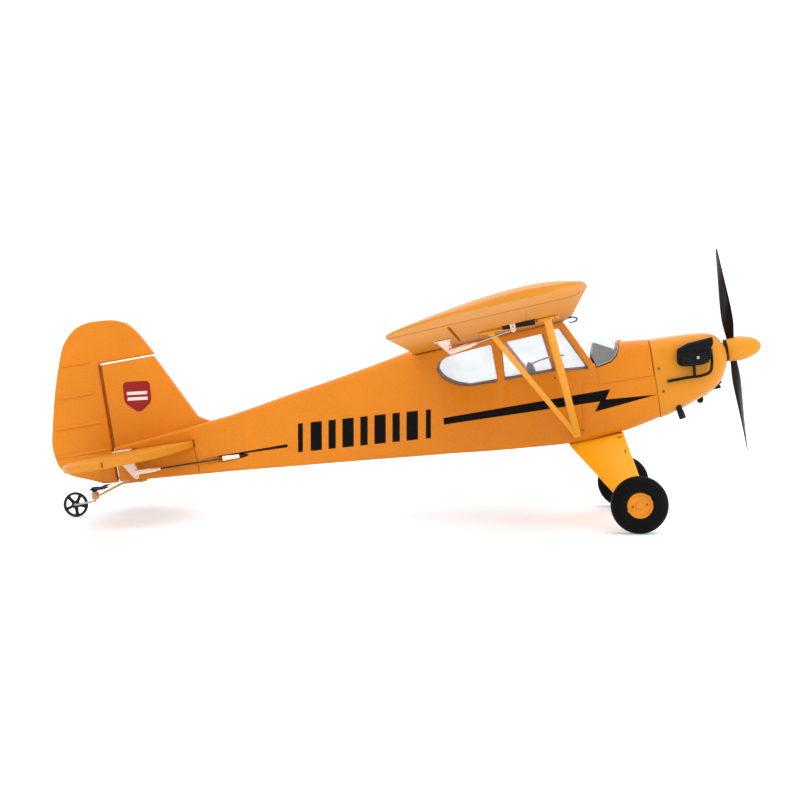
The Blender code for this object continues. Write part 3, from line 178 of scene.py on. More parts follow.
def surface(name, colour, rough=0.5, mottle=0.06, mottle_scale=40.0, rough_spread=0.06,
            grain=0.05, grain_scale=2500.0, bead=0.0, bead_scale=420.0, edge=0.0003,
            wear=0.0, streak=None, **sockets):
    """A moulded or painted surface: mottled colour, uneven gloss, fine grain, pressed foam
    beads where asked for, and softly rounded edges with a little wear."""
    material = bpy.data.materials.new(name)
    material.use_nodes = True
    nodes, links = material.node_tree.nodes, material.node_tree.links
    shader = set_inputs(nodes["Principled BSDF"], {"Specular_IOR_Level": 0.22, **sockets})
    coordinates = nodes.new("ShaderNodeTexCoord")
    where = coordinates.outputs["Object"]
    if streak:
        mapping = set_inputs(nodes.new("ShaderNodeMapping"), {"Scale": streak})
        links.new(where, mapping.inputs["Vector"])
        where = mapping.outputs["Vector"]

    patches = link_noise(nodes, links, where, mottle_scale)
    tint = nodes.new("ShaderNodeValToRGB")
    for stop, share in zip(tint.color_ramp.elements, (1 - mottle, 1 + mottle)):
        stop.color = (*[min(1.0, c * share) for c in colour], 1)
    tint.color_ramp.elements[0].position, tint.color_ramp.elements[1].position = 0.3, 0.7
    links.new(patches, tint.inputs["Fac"])
    shown = tint.outputs["Color"]

    bevel = nodes.new("ShaderNodeBevel")
    bevel.samples = 4
    bevel.inputs["Radius"].default_value = edge
    fine = link_noise(nodes, links, where, grain_scale, 4.0)
    normal = bump(nodes, links, fine, bevel.outputs["Normal"], grain, 0.0002)

    if bead:
        cells = nodes.new("ShaderNodeTexVoronoi")
        cells.feature = "DISTANCE_TO_EDGE"
        cells.inputs["Scale"].default_value = bead_scale
        links.new(where, cells.inputs["Vector"])
        seams = map_range(nodes, links, cells.outputs["Distance"], 0.0, 1.0, 0.0, 0.12)
        normal = bump(nodes, links, seams, normal, bead, 0.0003)
        darker = set_inputs(mix_colour(nodes, "MULTIPLY"), {"Factor": 1.0})
        links.new(shown, darker.inputs["A"])
        links.new(map_range(nodes, links, seams, 0.93, 1.0, 0.0, 1.0), darker.inputs["B"])
        shown = darker.outputs["Result"]
    if wear:
        geometry = nodes.new("ShaderNodeNewGeometry")
        worn = map_range(nodes, links, geometry.outputs["Pointiness"], 0.0, wear, 0.52, 0.60)
        lighter = mix_colour(nodes)
        lighter.inputs["B"].default_value = (*[c + 0.5 * (1 - c) for c in colour], 1)
        links.new(worn, lighter.inputs["Factor"])
        links.new(shown, lighter.inputs["A"])
        shown = lighter.outputs["Result"]

    links.new(shown, shader.inputs["Base Color"])
    links.new(map_range(nodes, links, patches, rough - rough_spread, rough + rough_spread),
              shader.inputs["Roughness"])
    links.new(normal, shader.inputs["Normal"])
    return material


def clear_sheet(name, colour, alpha):
    """Thin clear plastic film with a faint uneven haze."""
    material = surface(name, colour, rough=0.10, mottle=0.02, rough_spread=0.03, grain=0.0)
    nodes, links = material.node_tree.nodes, material.node_tree.links
    where = nodes["Texture Coordinate"].outputs["Object"]
    haze = map_range(nodes, links, link_noise(nodes, links, where, 60.0), alpha - 0.04,
                     alpha + 0.04)
    links.new(haze, nodes["Principled BSDF"].inputs["Alpha"])
    return material


FOAM_COLOUR = (0.640, 0.190, 0.003)
FOAM = surface("yellow_foam_skin", FOAM_COLOUR, rough=0.48, mottle=0.035, mottle_scale=22,
               grain=0.10, grain_scale=3200, bead=0.16, edge=0.0005)
WING_FOAM = surface("yellow_wing_skin", (0.600, 0.215, 0.012), rough=0.46, mottle=0.04,
                    mottle_scale=18, grain=0.10, grain_scale=3200, bead=0.16, edge=0.0005)
# Darker foam: painted shade, used in the tail's hinge gaps and along the wing's tip line.
SHADE_FOAM = surface("hinge_foam_shade", (0.400, 0.110, 0.002), rough=0.55, mottle=0.05,
                     grain=0.10, grain_scale=3200, edge=0.0001)
COWL_YELLOW = surface("cowl_gloss_yellow", (0.620, 0.220, 0.007), rough=0.33, mottle=0.03,
                      mottle_scale=30, grain=0.03, grain_scale=1800, edge=0.0005)
LEG_YELLOW = surface("leg_yellow_plastic", (0.900, 0.380, 0.008), rough=0.36, mottle=0.03,
                     grain=0.04, edge=0.0004)
STRUT_YELLOW = surface("strut_yellow_plastic", (0.760, 0.310, 0.025), rough=0.34, mottle=0.04,
                       grain=0.04, edge=0.0003)
HUB_YELLOW = surface("hub_yellow_plastic", (0.680, 0.230, 0.008), rough=0.36, mottle=0.07,
                     mottle_scale=160, grain=0.06, edge=0.0003)
SPINNER_YELLOW = surface("spinner_yellow_plastic", (0.650, 0.250, 0.010), rough=0.30,
                         mottle=0.03, grain=0.03, edge=0.0003)
BLACK = surface("black_moulded_plastic", (0.004, 0.004, 0.0045), rough=0.42, mottle=0.25,
                grain=0.10, edge=0.0003, wear=0.03, Specular_IOR_Level=0.08)
PROP_BLACK = surface("propeller_gloss_black", (0.010, 0.0050, 0.003), rough=0.20, mottle=0.20,
                     rough_spread=0.05, grain=0.03, edge=0.0002, streak=(1, 1, 0.15),
                     Coat_Weight=0.04, Coat_Roughness=0.12, Specular_IOR_Level=0.08)
RUBBER = surface("tyre_foam_rubber", (0.004, 0.004, 0.0042), rough=0.72, mottle=0.30,
                 mottle_scale=120, rough_spread=0.10, grain=0.35, grain_scale=2600, edge=0.0003,
                 Specular_IOR_Level=0.08)
DECAL_BLACK = surface("decal_black_vinyl", (0.003, 0.002, 0.002), rough=0.40, mottle=0.2,
                      grain=0.04, grain_scale=900, edge=0.0001, Specular_IOR_Level=0.06)
DECAL_RED = surface("decal_red_vinyl", (0.260, 0.004, 0.004), rough=0.32, mottle=0.10,
                    mottle_scale=90, grain=0.04, grain_scale=900, edge=0.0001)
DECAL_PALE = surface("decal_pale_vinyl", (0.820, 0.640, 0.600), rough=0.32, mottle=0.04,
                     grain=0.04, grain_scale=900, edge=0.0001)
PALE = surface("pale_nylon", (0.840, 0.700, 0.620), rough=0.38, mottle=0.04, grain=0.05,
               edge=0.0003, Subsurface_Weight=0.25, Subsurface_Scale=0.002)
STEEL = surface("bright_steel_wire", (0.42, 0.41, 0.41), rough=0.28, mottle=0.12,
                mottle_scale=300, grain=0.05, edge=0.0002, streak=(0.2, 1, 1), Metallic=1.0)
DARK_STEEL = surface("dark_steel_wire", (0.060, 0.050, 0.048), rough=0.34, mottle=0.2,
                     grain=0.05, edge=0.0002, Metallic=0.8)
SCREW = surface("screw_steel", (0.16, 0.11, 0.07), rough=0.36, mottle=0.2, mottle_scale=500,
                grain=0.08, edge=0.0002, wear=0.2, Metallic=0.9)
GREY = surface("dark_grey_plastic", (0.070, 0.080, 0.088), rough=0.45, mottle=0.08, grain=0.10,
               edge=0.0003)
PANEL_FACE = surface("panel_dark_face", (0.050, 0.055, 0.058), rough=0.24, mottle=0.05,
                     grain=0.06, edge=0.0002)
# Dark brown painted shadow for the rims round the windows.
WINDOW_REVEAL_SHADE = surface("window_reveal_painted_shade", (0.420, 0.160, 0.030), rough=0.50, mottle=0.15,
               mottle_scale=120, grain=0.10, edge=0.0002)
TAN = surface("bracket_tan_nylon", (0.620, 0.290, 0.070), rough=0.38, mottle=0.06, grain=0.05,
              edge=0.0003)
MOTOR = surface("motor_alloy", (0.40, 0.38, 0.36), rough=0.30, mottle=0.08, grain=0.05,
                streak=(1, 0.2, 0.2), edge=0.0002, Metallic=1.0)
PLY = surface("firewall_plywood", (0.50, 0.34, 0.18), rough=0.60, mottle=0.18, grain=0.10,
              mottle_scale=60, streak=(1, 0.15, 1), edge=0.0002)
BOARD = surface("board_green_lacquer", (0.015, 0.110, 0.060), rough=0.35, mottle=0.25,
                mottle_scale=400, grain=0.10, edge=0.0002)
WRAP = surface("battery_blue_wrap", (0.030, 0.070, 0.260), rough=0.28, mottle=0.10,
               mottle_scale=60, grain=0.05, edge=0.0006)
FILM = clear_sheet("window_film", (0.700, 0.690, 0.690), 0.18)
SCREEN_FILM = clear_sheet("windshield_film", (0.560, 0.550, 0.570), 0.18)
SCREEN_EDGE = clear_sheet("windshield_folded_edge", (0.640, 0.630, 0.650), 0.42)
PLATES = {"yellow_foam": FOAM, "yellow_plastic": LEG_YELLOW, "black_plastic": BLACK,
          "tyre_foam_rubber": RUBBER, "clear_film": FILM, "white_plastic": PALE,
          "steel_wire": STEEL, "grey_plastic": GREY, "motor_metal": MOTOR,
          "circuit_board": BOARD, "plywood": PLY, "battery_wrap": WRAP}


# ---------------------------------------------------------------- mesh helpers
def mesh_from(bm, name="shape"):
    """A bmesh made into a mesh, with its normals outwards."""
    bmesh.ops.remove_doubles(bm, verts=bm.verts, dist=1e-7)
    bmesh.ops.recalc_face_normals(bm, faces=bm.faces)
    mesh = bpy.data.meshes.new(name)
    bm.to_mesh(mesh)
    bm.free()
    return mesh


def loft(sections, split=True):
    """A closed solid through rings of points, all with the same count."""
    bm = bmesh.new()
    rings = [[bm.verts.new(point) for point in ring] for ring in sections]
    count = len(rings[0])
    for first, second in zip(rings, rings[1:]):
        for i in range(count):
            j = (i + 1) % count
            bm.faces.new((first[i], first[j], second[j], second[i]))
    caps = [bm.faces.new(rings[0]), bm.faces.new(list(reversed(rings[-1])))]
    for cap in caps:
        cap.normal_update()
    bmesh.ops.triangulate(bm, faces=bm.faces if split else caps)
    return mesh_from(bm)


def box(low, high):
    """A block between two corners."""
    low, high = Vector(low), Vector(high)
    bm = bmesh.new()
    bmesh.ops.create_cube(bm, size=1.0)
    bmesh.ops.scale(bm, vec=high - low, verts=bm.verts)
    bmesh.ops.translate(bm, vec=(low + high) / 2, verts=bm.verts)
    return mesh_from(bm)


def upright_to(direction):
    """The turn that carries +Z onto a direction."""
    return Vector((0, 0, 1)).rotation_difference(direction).to_matrix().to_4x4()


def rod(start, end, radius, end_radius=None, segments=20):
    """A round bar, or a cone with another end radius."""
    start, end = Vector(start), Vector(end)
    span = end - start
    bm = bmesh.new()
    bmesh.ops.create_cone(bm, cap_ends=True, segments=segments, radius1=radius,
                          radius2=radius if end_radius is None else end_radius,
                          depth=span.length)
    place = Matrix.Translation((start + end) / 2) @ upright_to(span.normalized())
    bmesh.ops.transform(bm, matrix=place, verts=bm.verts)
    return mesh_from(bm)


def evaluated_mesh(obj):
    """The object's mesh with its modifiers applied; the object is removed."""
    bpy.context.view_layer.update()
    done = obj.evaluated_get(bpy.context.evaluated_depsgraph_get())
    mesh = bpy.data.meshes.new_from_object(done)
    bpy.data.objects.remove(obj, do_unlink=True)
    return mesh


def placed(data, name="holder"):
    """An object that holds a mesh, a curve, a light or a camera, linked to the scene."""
    obj = bpy.data.objects.new(name, data)
    bpy.context.scene.collection.objects.link(obj)
    return obj


def carve(mesh, cutters, operation="DIFFERENCE"):
    """The mesh after one Boolean for each cutter."""
    obj = placed(mesh)
    others = [placed(cutter) for cutter in cutters]
    for other in others:
        modifier = obj.modifiers.new("cut", "BOOLEAN")
        modifier.operation = operation
        modifier.object = other
        modifier.solver = "EXACT"
    result = evaluated_mesh(obj)
    for other in others:
        bpy.data.objects.remove(other, do_unlink=True)
    return result


def soften(mesh, width, segments=2, angle=40):
    """The mesh with its sharp edges rounded."""
    obj = placed(mesh)
    modifier = obj.modifiers.new("round", "BEVEL")
    modifier.width = width
    modifier.segments = segments
    modifier.limit_method = "ANGLE"
    modifier.angle_limit = math.radians(angle)
    return evaluated_mesh(obj)


def thicken(mesh, thickness, even=False):
    """A sheet given a thickness, half of it to each side."""
    obj = placed(mesh)
    modifier = obj.modifiers.new("thickness", "SOLIDIFY")
    modifier.thickness = thickness
    modifier.offset = 0
    modifier.use_even_offset = even
    return evaluated_mesh(obj)


SIDE_VIEW = (Matrix.Rotation(math.radians(90), 4, "X"), Vector((0, 1, 0)))
TOP_VIEW = (Matrix.Identity(4), Vector((0, 0, 1)))


def plate(outline, thickness, view, middle):
    """A flat outline, read (x, z) or (x, y), with a thickness across its view."""
    turn, across = view
    bm = bmesh.new()
    verts = [bm.verts.new((a, b, -thickness / 2)) for a, b in outline]
    face = bm.faces.new(verts)
    grown = bmesh.ops.extrude_face_region(bm, geom=[face])
    lifted = [g for g in grown["geom"] if isinstance(g, bmesh.types.BMVert)]
    bmesh.ops.translate(bm, vec=(0, 0, thickness), verts=lifted)
    mesh = mesh_from(bm)
    mesh.transform(Matrix.Translation(across * middle) @ turn)
    return mesh


def tube(points, radius, smooth=True, resolution=5):
    """A round wire along given points, ends filled."""
    curve = bpy.data.curves.new("wire", "CURVE")
    curve.dimensions = "3D"
    curve.bevel_depth = radius
    curve.bevel_resolution = resolution
    curve.use_fill_caps = True
    spline = curve.splines.new("BEZIER" if smooth else "POLY")
    if smooth:
        spline.resolution_u = 8
        spline.bezier_points.add(len(points) - 1)
        for knot, place in zip(spline.bezier_points, points):
            knot.co = place
            knot.handle_left_type = knot.handle_right_type = "AUTO"
    else:
        spline.points.add(len(points) - 1)
        for knot, place in zip(spline.points, points):
            knot.co = (*place, 1)
    bm = bmesh.new()
    bm.from_mesh(evaluated_mesh(placed(curve)))
    return mesh_from(bm)


def turned(profile, place, axis, segments=64):
    """A turned solid: (radius, height) points spun about an axis through place."""
    bm = bmesh.new()
    closed = profile[0][0] > 0
    columns = []
    for k in range(segments):
        turn = 2 * math.pi * k / segments
        columns.append([bm.verts.new((r * math.cos(turn), r * math.sin(turn), h))
                        for r, h in profile])
    spans = len(profile) if closed else len(profile) - 1
    for first, second in zip(columns, columns[1:] + columns[:1]):
        for i in range(spans):
            j = (i + 1) % len(profile)
            corners = [first[i], first[j], second[j], second[i]]
            if profile[i][0] == 0:
                corners.pop(3)
            elif profile[j][0] == 0:
                corners.pop(2)
            bm.faces.new(corners)
    place = Matrix.Translation(place) @ upright_to(Vector(axis))
    bmesh.ops.transform(bm, matrix=place, verts=bm.verts)
    return mesh_from(bm)


def joined(meshes):
    """Several closed shapes in one mesh."""
    bm = bmesh.new()
    for shape in meshes:
        bm.from_mesh(shape)
    mesh = bpy.data.meshes.new("joined")
    bm.to_mesh(mesh)
    bm.free()
    return mesh


def refine(rows, steps):
    """Rows of values with smooth rows between them."""
    out = []
    for i in range(len(rows) - 1):
        a, b, c, d = (rows[max(i - 1, 0)], rows[i], rows[i + 1],
                      rows[min(i + 2, len(rows) - 1)])
        for k in range(steps):
            t = k / steps
            out.append([0.5 * (2 * q + (r - p) * t + (2 * p - 5 * q + 4 * r - s) * t**2
                               + (3 * q - p - 3 * r + s) * t**3)
                        for p, q, r, s in zip(a, b, c, d)])
    out.append(list(rows[-1]))
    return out


def arc_points(cx, cy, radius_x, radius_y, start, end, steps):
    """Points along an arc between two angles in degrees."""
    angles = [math.radians(start + (end - start) * k / steps) for k in range(steps + 1)]
    return [(cx + radius_x * math.cos(a), cy + radius_y * math.sin(a)) for a in angles]


def piece(name, mesh, material, body="airframe", replaced=(), smooth=32):
    """Shows a mesh drawn in the datum; it rides on a body and may stand for CAD nodes."""
    mesh.transform(DATUM)
    mesh.materials.clear()
    mesh.materials.append(material)
    if smooth is not None:
        mesh.shade_smooth()
        mesh.set_sharp_from_angle(angle=math.radians(smooth))
    obj = placed(mesh, name)
    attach(obj, body)
    if replaced:
        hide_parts(*replaced)
    return obj


def screw(place, normal, radius=0.0011, height=0.0005):
    """A small pan-head screw with a cross recess, standing on a face."""
    normal = Vector(normal).normalized()
    head = [(0.0, height), (radius * 0.55, height), (radius * 0.88, height * 0.72),
            (radius, height * 0.25), (radius, -height), (0.0, -height)]
    mesh = turned(head, (0, 0, 0), (0, 0, 1), 20)
    arm, slit, depth = radius * 0.55, 0.00013, height * 0.45
    mesh = carve(mesh, [box((-arm, -slit, depth), (arm, slit, height * 2)),
                        box((-slit, -arm, depth), (slit, arm, height * 2))])
    mesh.transform(Matrix.Translation(Vector(place)) @ upright_to(normal))
    return mesh


# ---------------------------------------------------------------- fuselage, hatch, windows
NOSE = refine(NOSE_ROWS, 5)
CABIN = refine(CABIN_ROWS, 4)
TAIL = refine(TAIL_ROWS, 5)
ALL_ROWS = NOSE + CABIN + TAIL


def row_at(x):
    """The fuselage's section values at x."""
    for front, rear in zip(ALL_ROWS, ALL_ROWS[1:]):
        if rear[0] <= x <= front[0]:
            share = (front[0] - x) / max(front[0] - rear[0], 1e-9)
            return [f + share * (r - f) for f, r in zip(front, rear)]
    return ALL_ROWS[0] if x > ALL_ROWS[0][0] else ALL_ROWS[-1]


def side_y(x):
    """Half width of the fuselage at x."""
    return row_at(x)[1]


def belly(x):
    """Height of the fuselage's underside at x."""
    return row_at(x)[4]


def deck(x):
    """Height of the fuselage's top edge at x."""
    return row_at(x)[2]


def half_ring(row, side, inset=0.0, lift=0.0, centre=SEAM / 2):
    """One side of a section, from the top centre round to the bottom centre."""
    x, half, top, rise, bottom, corner_w, corner_h, radius = row
    half, top, bottom = half - inset, top - inset + lift, bottom + inset
    points = [(centre, top), (0.5 * (half - corner_w), top + 0.5 * rise)]
    points += arc_points(half - corner_w, top + rise - corner_h, corner_w, corner_h, 90, 0, 7)
    points += arc_points(half - radius, bottom + radius, radius, radius, 0, -90, 6)
    points += [(0.5 * (half - radius), bottom), (centre, bottom)]
    return [(x, side * y, z) for y, z in points]


def cavity(side):
    """Cutter for the hollow of one half of the fuselage."""
    between = [row for row in ALL_ROWS if CAVITY_REAR < row[0] < CAVITY_FRONT - 0.001]
    rings = []
    for row in [row_at(CAVITY_FRONT)] + between + [row_at(CAVITY_REAR)]:
        open_top = ROOF_OPENING[0] < row[0] < ROOF_OPENING[1]
        ring = half_ring(row, side, WALL, 0.014 if open_top else 0.0)
        for end in (0, -1):
            ring[end] = (ring[end][0], -side * 0.002, ring[end][2])
        rings.append(ring)
    return loft(rings)


def rod_line(name, x):
    """A point of the elevator's or the rudder's pushrod at x."""
    if name == "elevator":
        run = x - ELEVATOR_HINGE_X
        return Vector((x, -(TAIL_ROD_Y - run * 0.030),
                       STAB_Z - ELEVATOR_HORN_DROP + run * 0.002))
    run = x - RUDDER_HINGE_X
    return Vector((x, RUDDER_HORN_REACH + 0.0028 - run * 0.028, RUDDER_HORN_Z + run * 0.125))


def groove(points, side, width=0.00045, depth=0.0004):
    """Cutters for a shallow line in the fuselage's side along (x, z) points."""
    cutters = []
    for (x0, z0), (x1, z1) in zip(points, points[1:]):
        along = Vector((x1 - x0, 0, z1 - z0))
        across = Vector((-along.z, 0, along.x)).normalized() * width / 2
        reach = along.normalized() * width / 2
        rings = []
        for x, z, push in ((x0, z0, -reach), (x1, z1, reach)):
            inner, outer = side_y(x) - depth, side_y(x) + 0.002
            centre = Vector((x, 0, z)) + push
            rings.append([centre + across * s + Vector((0, side * y, 0))
                          for s, y in ((-1, inner), (1, inner), (1, outer), (-1, outer))])
        cutters.append(loft(rings))
    return cutters


def rounded(outline, radius, steps=4):
    """An outline with its corners rounded."""
    points = []
    count = len(outline)
    for i in range(count):
        a, b, c = (Vector(outline[i - 1]), Vector(outline[i]), Vector(outline[(i + 1) % count]))
        reach = min(radius, (a - b).length * 0.45, (c - b).length * 0.45)
        start, end = b + (a - b).normalized() * reach, b + (c - b).normalized() * reach
        for k in range(steps + 1):
            t = k / steps
            points.append(tuple(start * (1 - t)**2 + b * 2 * t * (1 - t) + end * t**2))
    return points


def inset_outline(outline, gap):
    """An outline moved inwards (negative gap: outwards) by mitred offsets."""
    count = len(outline)
    area = sum(outline[i - 1][0] * outline[i][1] - outline[i][0] * outline[i - 1][1]
               for i in range(count))
    turn = 1 if area > 0 else -1
    points = []
    for i in range(count):
        a, b, c = (Vector(outline[i - 1]), Vector(outline[i]), Vector(outline[(i + 1) % count]))
        first, second = (b - a).normalized(), (c - b).normalized()
        n1, n2 = Vector((-first.y, first.x)) * turn, Vector((-second.y, second.x)) * turn
        mitre = (n1 + n2).normalized()
        points.append(tuple(b + mitre * (gap / max(0.35, mitre.dot(n1)))))
    return points


def make_fuselage():
    """The two foam halves, with their windows, slots and channels."""
    nose_cut = plate([(-0.050, HATCH_SIDE_Z), (HATCH_REAR - FINE_SEAM, HATCH_SIDE_Z),
                      (HATCH_REAR - FINE_SEAM, 0.0030), PILLAR_TOP, (PILLAR_TOP[0], 0.060),
                      (-0.050, 0.060)], THROUGH, SIDE_VIEW, 0)
    slot = STAB_THICKNESS / 2 + FINE_SEAM
    for name, side in SIDES:
        cutters = [cavity(side), nose_cut.copy()]
        for outline in WINDOWS:
            cutters.append(plate(rounded(outline, 0.0016), THROUGH, SIDE_VIEW, 0))
        cutters.append(box((ELEVATOR_HINGE_X, -0.03, STAB_Z - slot),
                           (-0.3846, 0.03, STAB_Z + slot)))
        cutters.append(rod((ELEVATOR_HINGE_X, -0.03, STAB_Z), (ELEVATOR_HINGE_X, 0.03, STAB_Z),
                           0.0030))
        drive = "elevator" if side < 0 else "rudder"
        cutters.append(rod(rod_line(drive, -0.312), rod_line(drive, -0.392), 0.0024))
        cutters += groove([(-0.0973, -0.0084), (-0.1088, -0.0056), (-0.1146, -0.0405)], side,
                          width=0.0002, depth=0.00015)
        cutters += groove([(-0.3854, -0.0078), (-0.3844, -0.0262)], side, 0.0007, 0.0006)
        rings = [half_ring(row, side) for row in ALL_ROWS]
        shell = carve(loft(rings), cutters)
        piece(f"fuselage_shell_{name}", soften(shell, 0.0004, 2, 50), FOAM,
              replaced=[f"fuselage_{name}"])
        make_window_shade_and_film(name, side)
        make_decals(name, side)


def make_window_shade_and_film(name, side):
    """A dark brown rim painted round each window as the shadow in its reveal, with the cabin screws and the film
    itself.
    """
    shade_rims = []
    for outline in WINDOWS:
        # The rim is moved a little back and down, where the reveal's shadow falls.
        lowered = [(x - 0.00020, z - 0.00035) for x, z in outline]
        outer = rounded(inset_outline(lowered, -0.00035), 0.0018)
        inner = rounded(inset_outline(outline, 0.00002), 0.0016)
        rim = plate(outer, 0.0004, SIDE_VIEW, side * 0.0279)
        shade_rims.append(carve(rim, [plate(inner, 0.01, SIDE_VIEW, side * 0.0272)]))
    piece(f"window_reveal_shade_{name}", joined(shade_rims), WINDOW_REVEAL_SHADE)
    heads = [screw((x, side * side_y(x), z), (0, side, 0), 0.0008, 0.0003)
             for x, z in ((-0.1427, 0.0009), (-0.1265, 0.0011), (-0.1130, -0.0376))]
    piece(f"cabin_screws_{name}", joined(heads), SCREW)
    outline = [(-0.2085, 0.0020), (-0.0995, 0.0020), (-0.0995, 0.0040), (-0.1090, 0.0360),
               (-0.1180, 0.0362), (-0.2085, 0.0300)]
    inner = 0.028 - WALL - SEAM - 0.0006
    film = plate(rounded(outline, 0.002), 0.0005, SIDE_VIEW, side * inner)
    piece(f"window_film_{name}", film, FILM, replaced=[f"glazing_{name}"])


def side_decal(name, outlines, side, material):
    """Thin vinyl on the fuselage's side, following its taper."""
    bm = bmesh.new()
    for outline in outlines:
        face = bm.faces.new([bm.verts.new((x, 0, z)) for x, z in outline])
        face.normal_update()
    bmesh.ops.triangulate(bm, faces=bm.faces)
    for row in ALL_ROWS:
        everything = list(bm.verts) + list(bm.edges) + list(bm.faces)
        bmesh.ops.bisect_plane(bm, geom=everything, plane_co=(row[0], 0, 0),
                               plane_no=(1, 0, 0), dist=1e-6)
    for vert in bm.verts:
        vert.co.y = side * (side_y(vert.co.x) + 0.00009)
    piece(name, thicken(mesh_from(bm), 0.00012), material, smooth=20)


def make_decals(name, side):
    """Plain stripes and slanted bars in place of the real markings."""
    stripe = [(-0.2067, -0.0141), (-0.0905, -0.0125), (-0.0945, -0.0190), (-0.0600, -0.0213),
              (-0.1030, -0.0262), (-0.0985, -0.0197), (-0.2071, -0.0186)]
    rear = [(-0.3185, -0.0155), (-0.3185, -0.0176), (-0.3690, -0.0170), (-0.3690, -0.0165)]
    bars = []
    top_rear, bottom_rear = Vector((-0.3124, -0.0022)), Vector((-0.3157, -0.0221))
    top_front, bottom_front = Vector((-0.2104, -0.0069)), Vector((-0.2136, -0.0266))
    widths = [0.30, 0.70, 0.45, 0.70, 0.45, 0.70, 0.45, 0.70, 0.30]
    step = 1.0 / len(widths)
    for k, share in enumerate(widths):
        start, end = (k + 0.5 - share / 2) * step, (k + 0.5 + share / 2) * step
        bars.append([tuple(top_rear.lerp(top_front, start)), tuple(top_rear.lerp(top_front, end)),
                     tuple(bottom_rear.lerp(bottom_front, end)),
                     tuple(bottom_rear.lerp(bottom_front, start))])
    side_decal(f"stripe_decal_{name}", [stripe, rear], side, DECAL_BLACK)
    side_decal(f"bar_decal_{name}", bars, side, DECAL_BLACK)


def make_hatch():
    """The nose hatch, hollow over the battery bay, with its catch."""
    rows = [row_at(NOSE_END - SEAM)] + NOSE[1:-1] + [(HATCH_REAR, *NOSE_ROWS[2][1:])]
    rings = []
    for row in rows:
        right, left = half_ring(row, -1, centre=0.0), half_ring(row, 1, centre=0.0)
        rings.append(right + left[-2:0:-1])
    cutters = [box((-0.12, -0.05, -0.06), (-0.05, 0.05, HATCH_SIDE_Z + FINE_SEAM))]
    above = [(SCREEN_SEAT[0][0], 0.05)] + SCREEN_SEAT + [(-0.1100, 0.0020), (-0.1100, 0.05)]
    cutters.append(plate(above, THROUGH, SIDE_VIEW, 0))
    hollow = []
    for row, shift in ((rows[0], -WALL), (NOSE[5], 0.0), (rows[-1], -0.005)):
        half, top = row[1] - WALL, row[2] - WALL
        x = row[0] + shift
        hollow.append([(x, -half, -0.02), (x, -half, top - row[6])]
                      + [(x, y, z) for y, z in ((row[5] - half, top), (half - row[5], top),
                                                (half, top - row[6]), (half, -0.02))])
    cutters.append(loft(hollow))
    shell = carve(loft(rings), cutters)
    piece("hatch_shell", soften(shell, 0.0005, 2, 50), FOAM, "hatch", ["hatch"])
    lip = box((SCREEN_SEAT[0][0] - 0.0006, -0.0030, SCREEN_SEAT[0][1] - 0.0008),
              (SCREEN_SEAT[0][0] + 0.0026, 0.0030, SCREEN_SEAT[0][1] + 0.0012))
    piece("hatch_catch", soften(lip, 0.0004), LEG_YELLOW, "hatch")


def make_windshield():
    """A folded clear sheet with a pressed edge along its foot."""
    lift = 0.0006
    foot = [(-0.0793, 0.0, 0.0181), (-0.0793, 0.0170, 0.0180), (-0.0800, 0.0225, 0.0150),
            (-0.0812, 0.0272, 0.0120), (-0.0838, 0.0274, 0.0080), (-0.0870, 0.0274, 0.0057),
            (-0.0966, 0.0274, 0.0036)]
    head = [(-0.1052, 0.0, 0.0398), (-0.1054, 0.0170, 0.0402), (-0.1057, 0.0225, 0.0402),
            (-0.1059, 0.0268, 0.0400), (-0.1061, 0.0271, 0.0396), (-0.1062, 0.0273, 0.0391),
            (-0.1064, 0.0274, 0.0385)]
    foot = [(x - lift, y, z + lift) for x, y, z in foot]

    def row_points(share):
        port = [Vector(a).lerp(Vector(b), share) for a, b in zip(foot, head)]
        return [Vector((p.x, -p.y, p.z)) for p in port[:0:-1]] + port

    shares = [k / 6 for k in range(7)]
    bm = bmesh.new()
    rows = [[bm.verts.new(point) for point in row_points(share)] for share in shares]
    for first, second in zip(rows, rows[1:]):
        for i in range(len(first) - 1):
            bm.faces.new((first[i], first[i + 1], second[i + 1], second[i]))
    piece("windshield_film", thicken(mesh_from(bm), 0.0005, even=True), SCREEN_FILM, "hatch",
          ["windshield"], smooth=25)
    base = [Vector(p) + Vector((0.0002, 0, 0.0003)) for p in row_points(0.0)]
    piece("windshield_edge", tube(base, 0.0003, smooth=False), SCREEN_EDGE, "hatch")


# ---------------------------------------------------------------- wing
def thickness_at(c, thick):
    """Height of the upper surface over the lower one at the share c of the chord."""
    shape = 0.2969 * math.sqrt(c) - 0.126 * c - 0.3516 * c**2 + 0.2843 * c**3 - 0.1036 * c**4
    return thick * shape / 0.1 + TRAILING_THICKNESS * c


def lower_at(c):
    """Rise of the lower surface at the nose."""
    return NOSE_RISE * max(0.0, 1 - c / 0.10) ** 2


def wing_point(c, y, height):
    """A point at the share c of the chord, at y, and so high over the flat underside."""
    return (WING_NOSE_X - c * CHORD, y,
            WING_ROOT_Z + abs(y) * DIHEDRAL - c * CHORD * WING_SLOPE + height)


def under_wing(x, y):
    """Height of the wing's flat underside at a place."""
    return WING_ROOT_Z + abs(y) * DIHEDRAL + (x - WING_NOSE_X) * WING_SLOPE


def hinge_point(y, side):
    """A point of the aileron's hinge line."""
    middle = thickness_at(HINGE_CHORD, WING_THICKNESS) / 2
    return Vector(wing_point(HINGE_CHORD, side * y, middle))


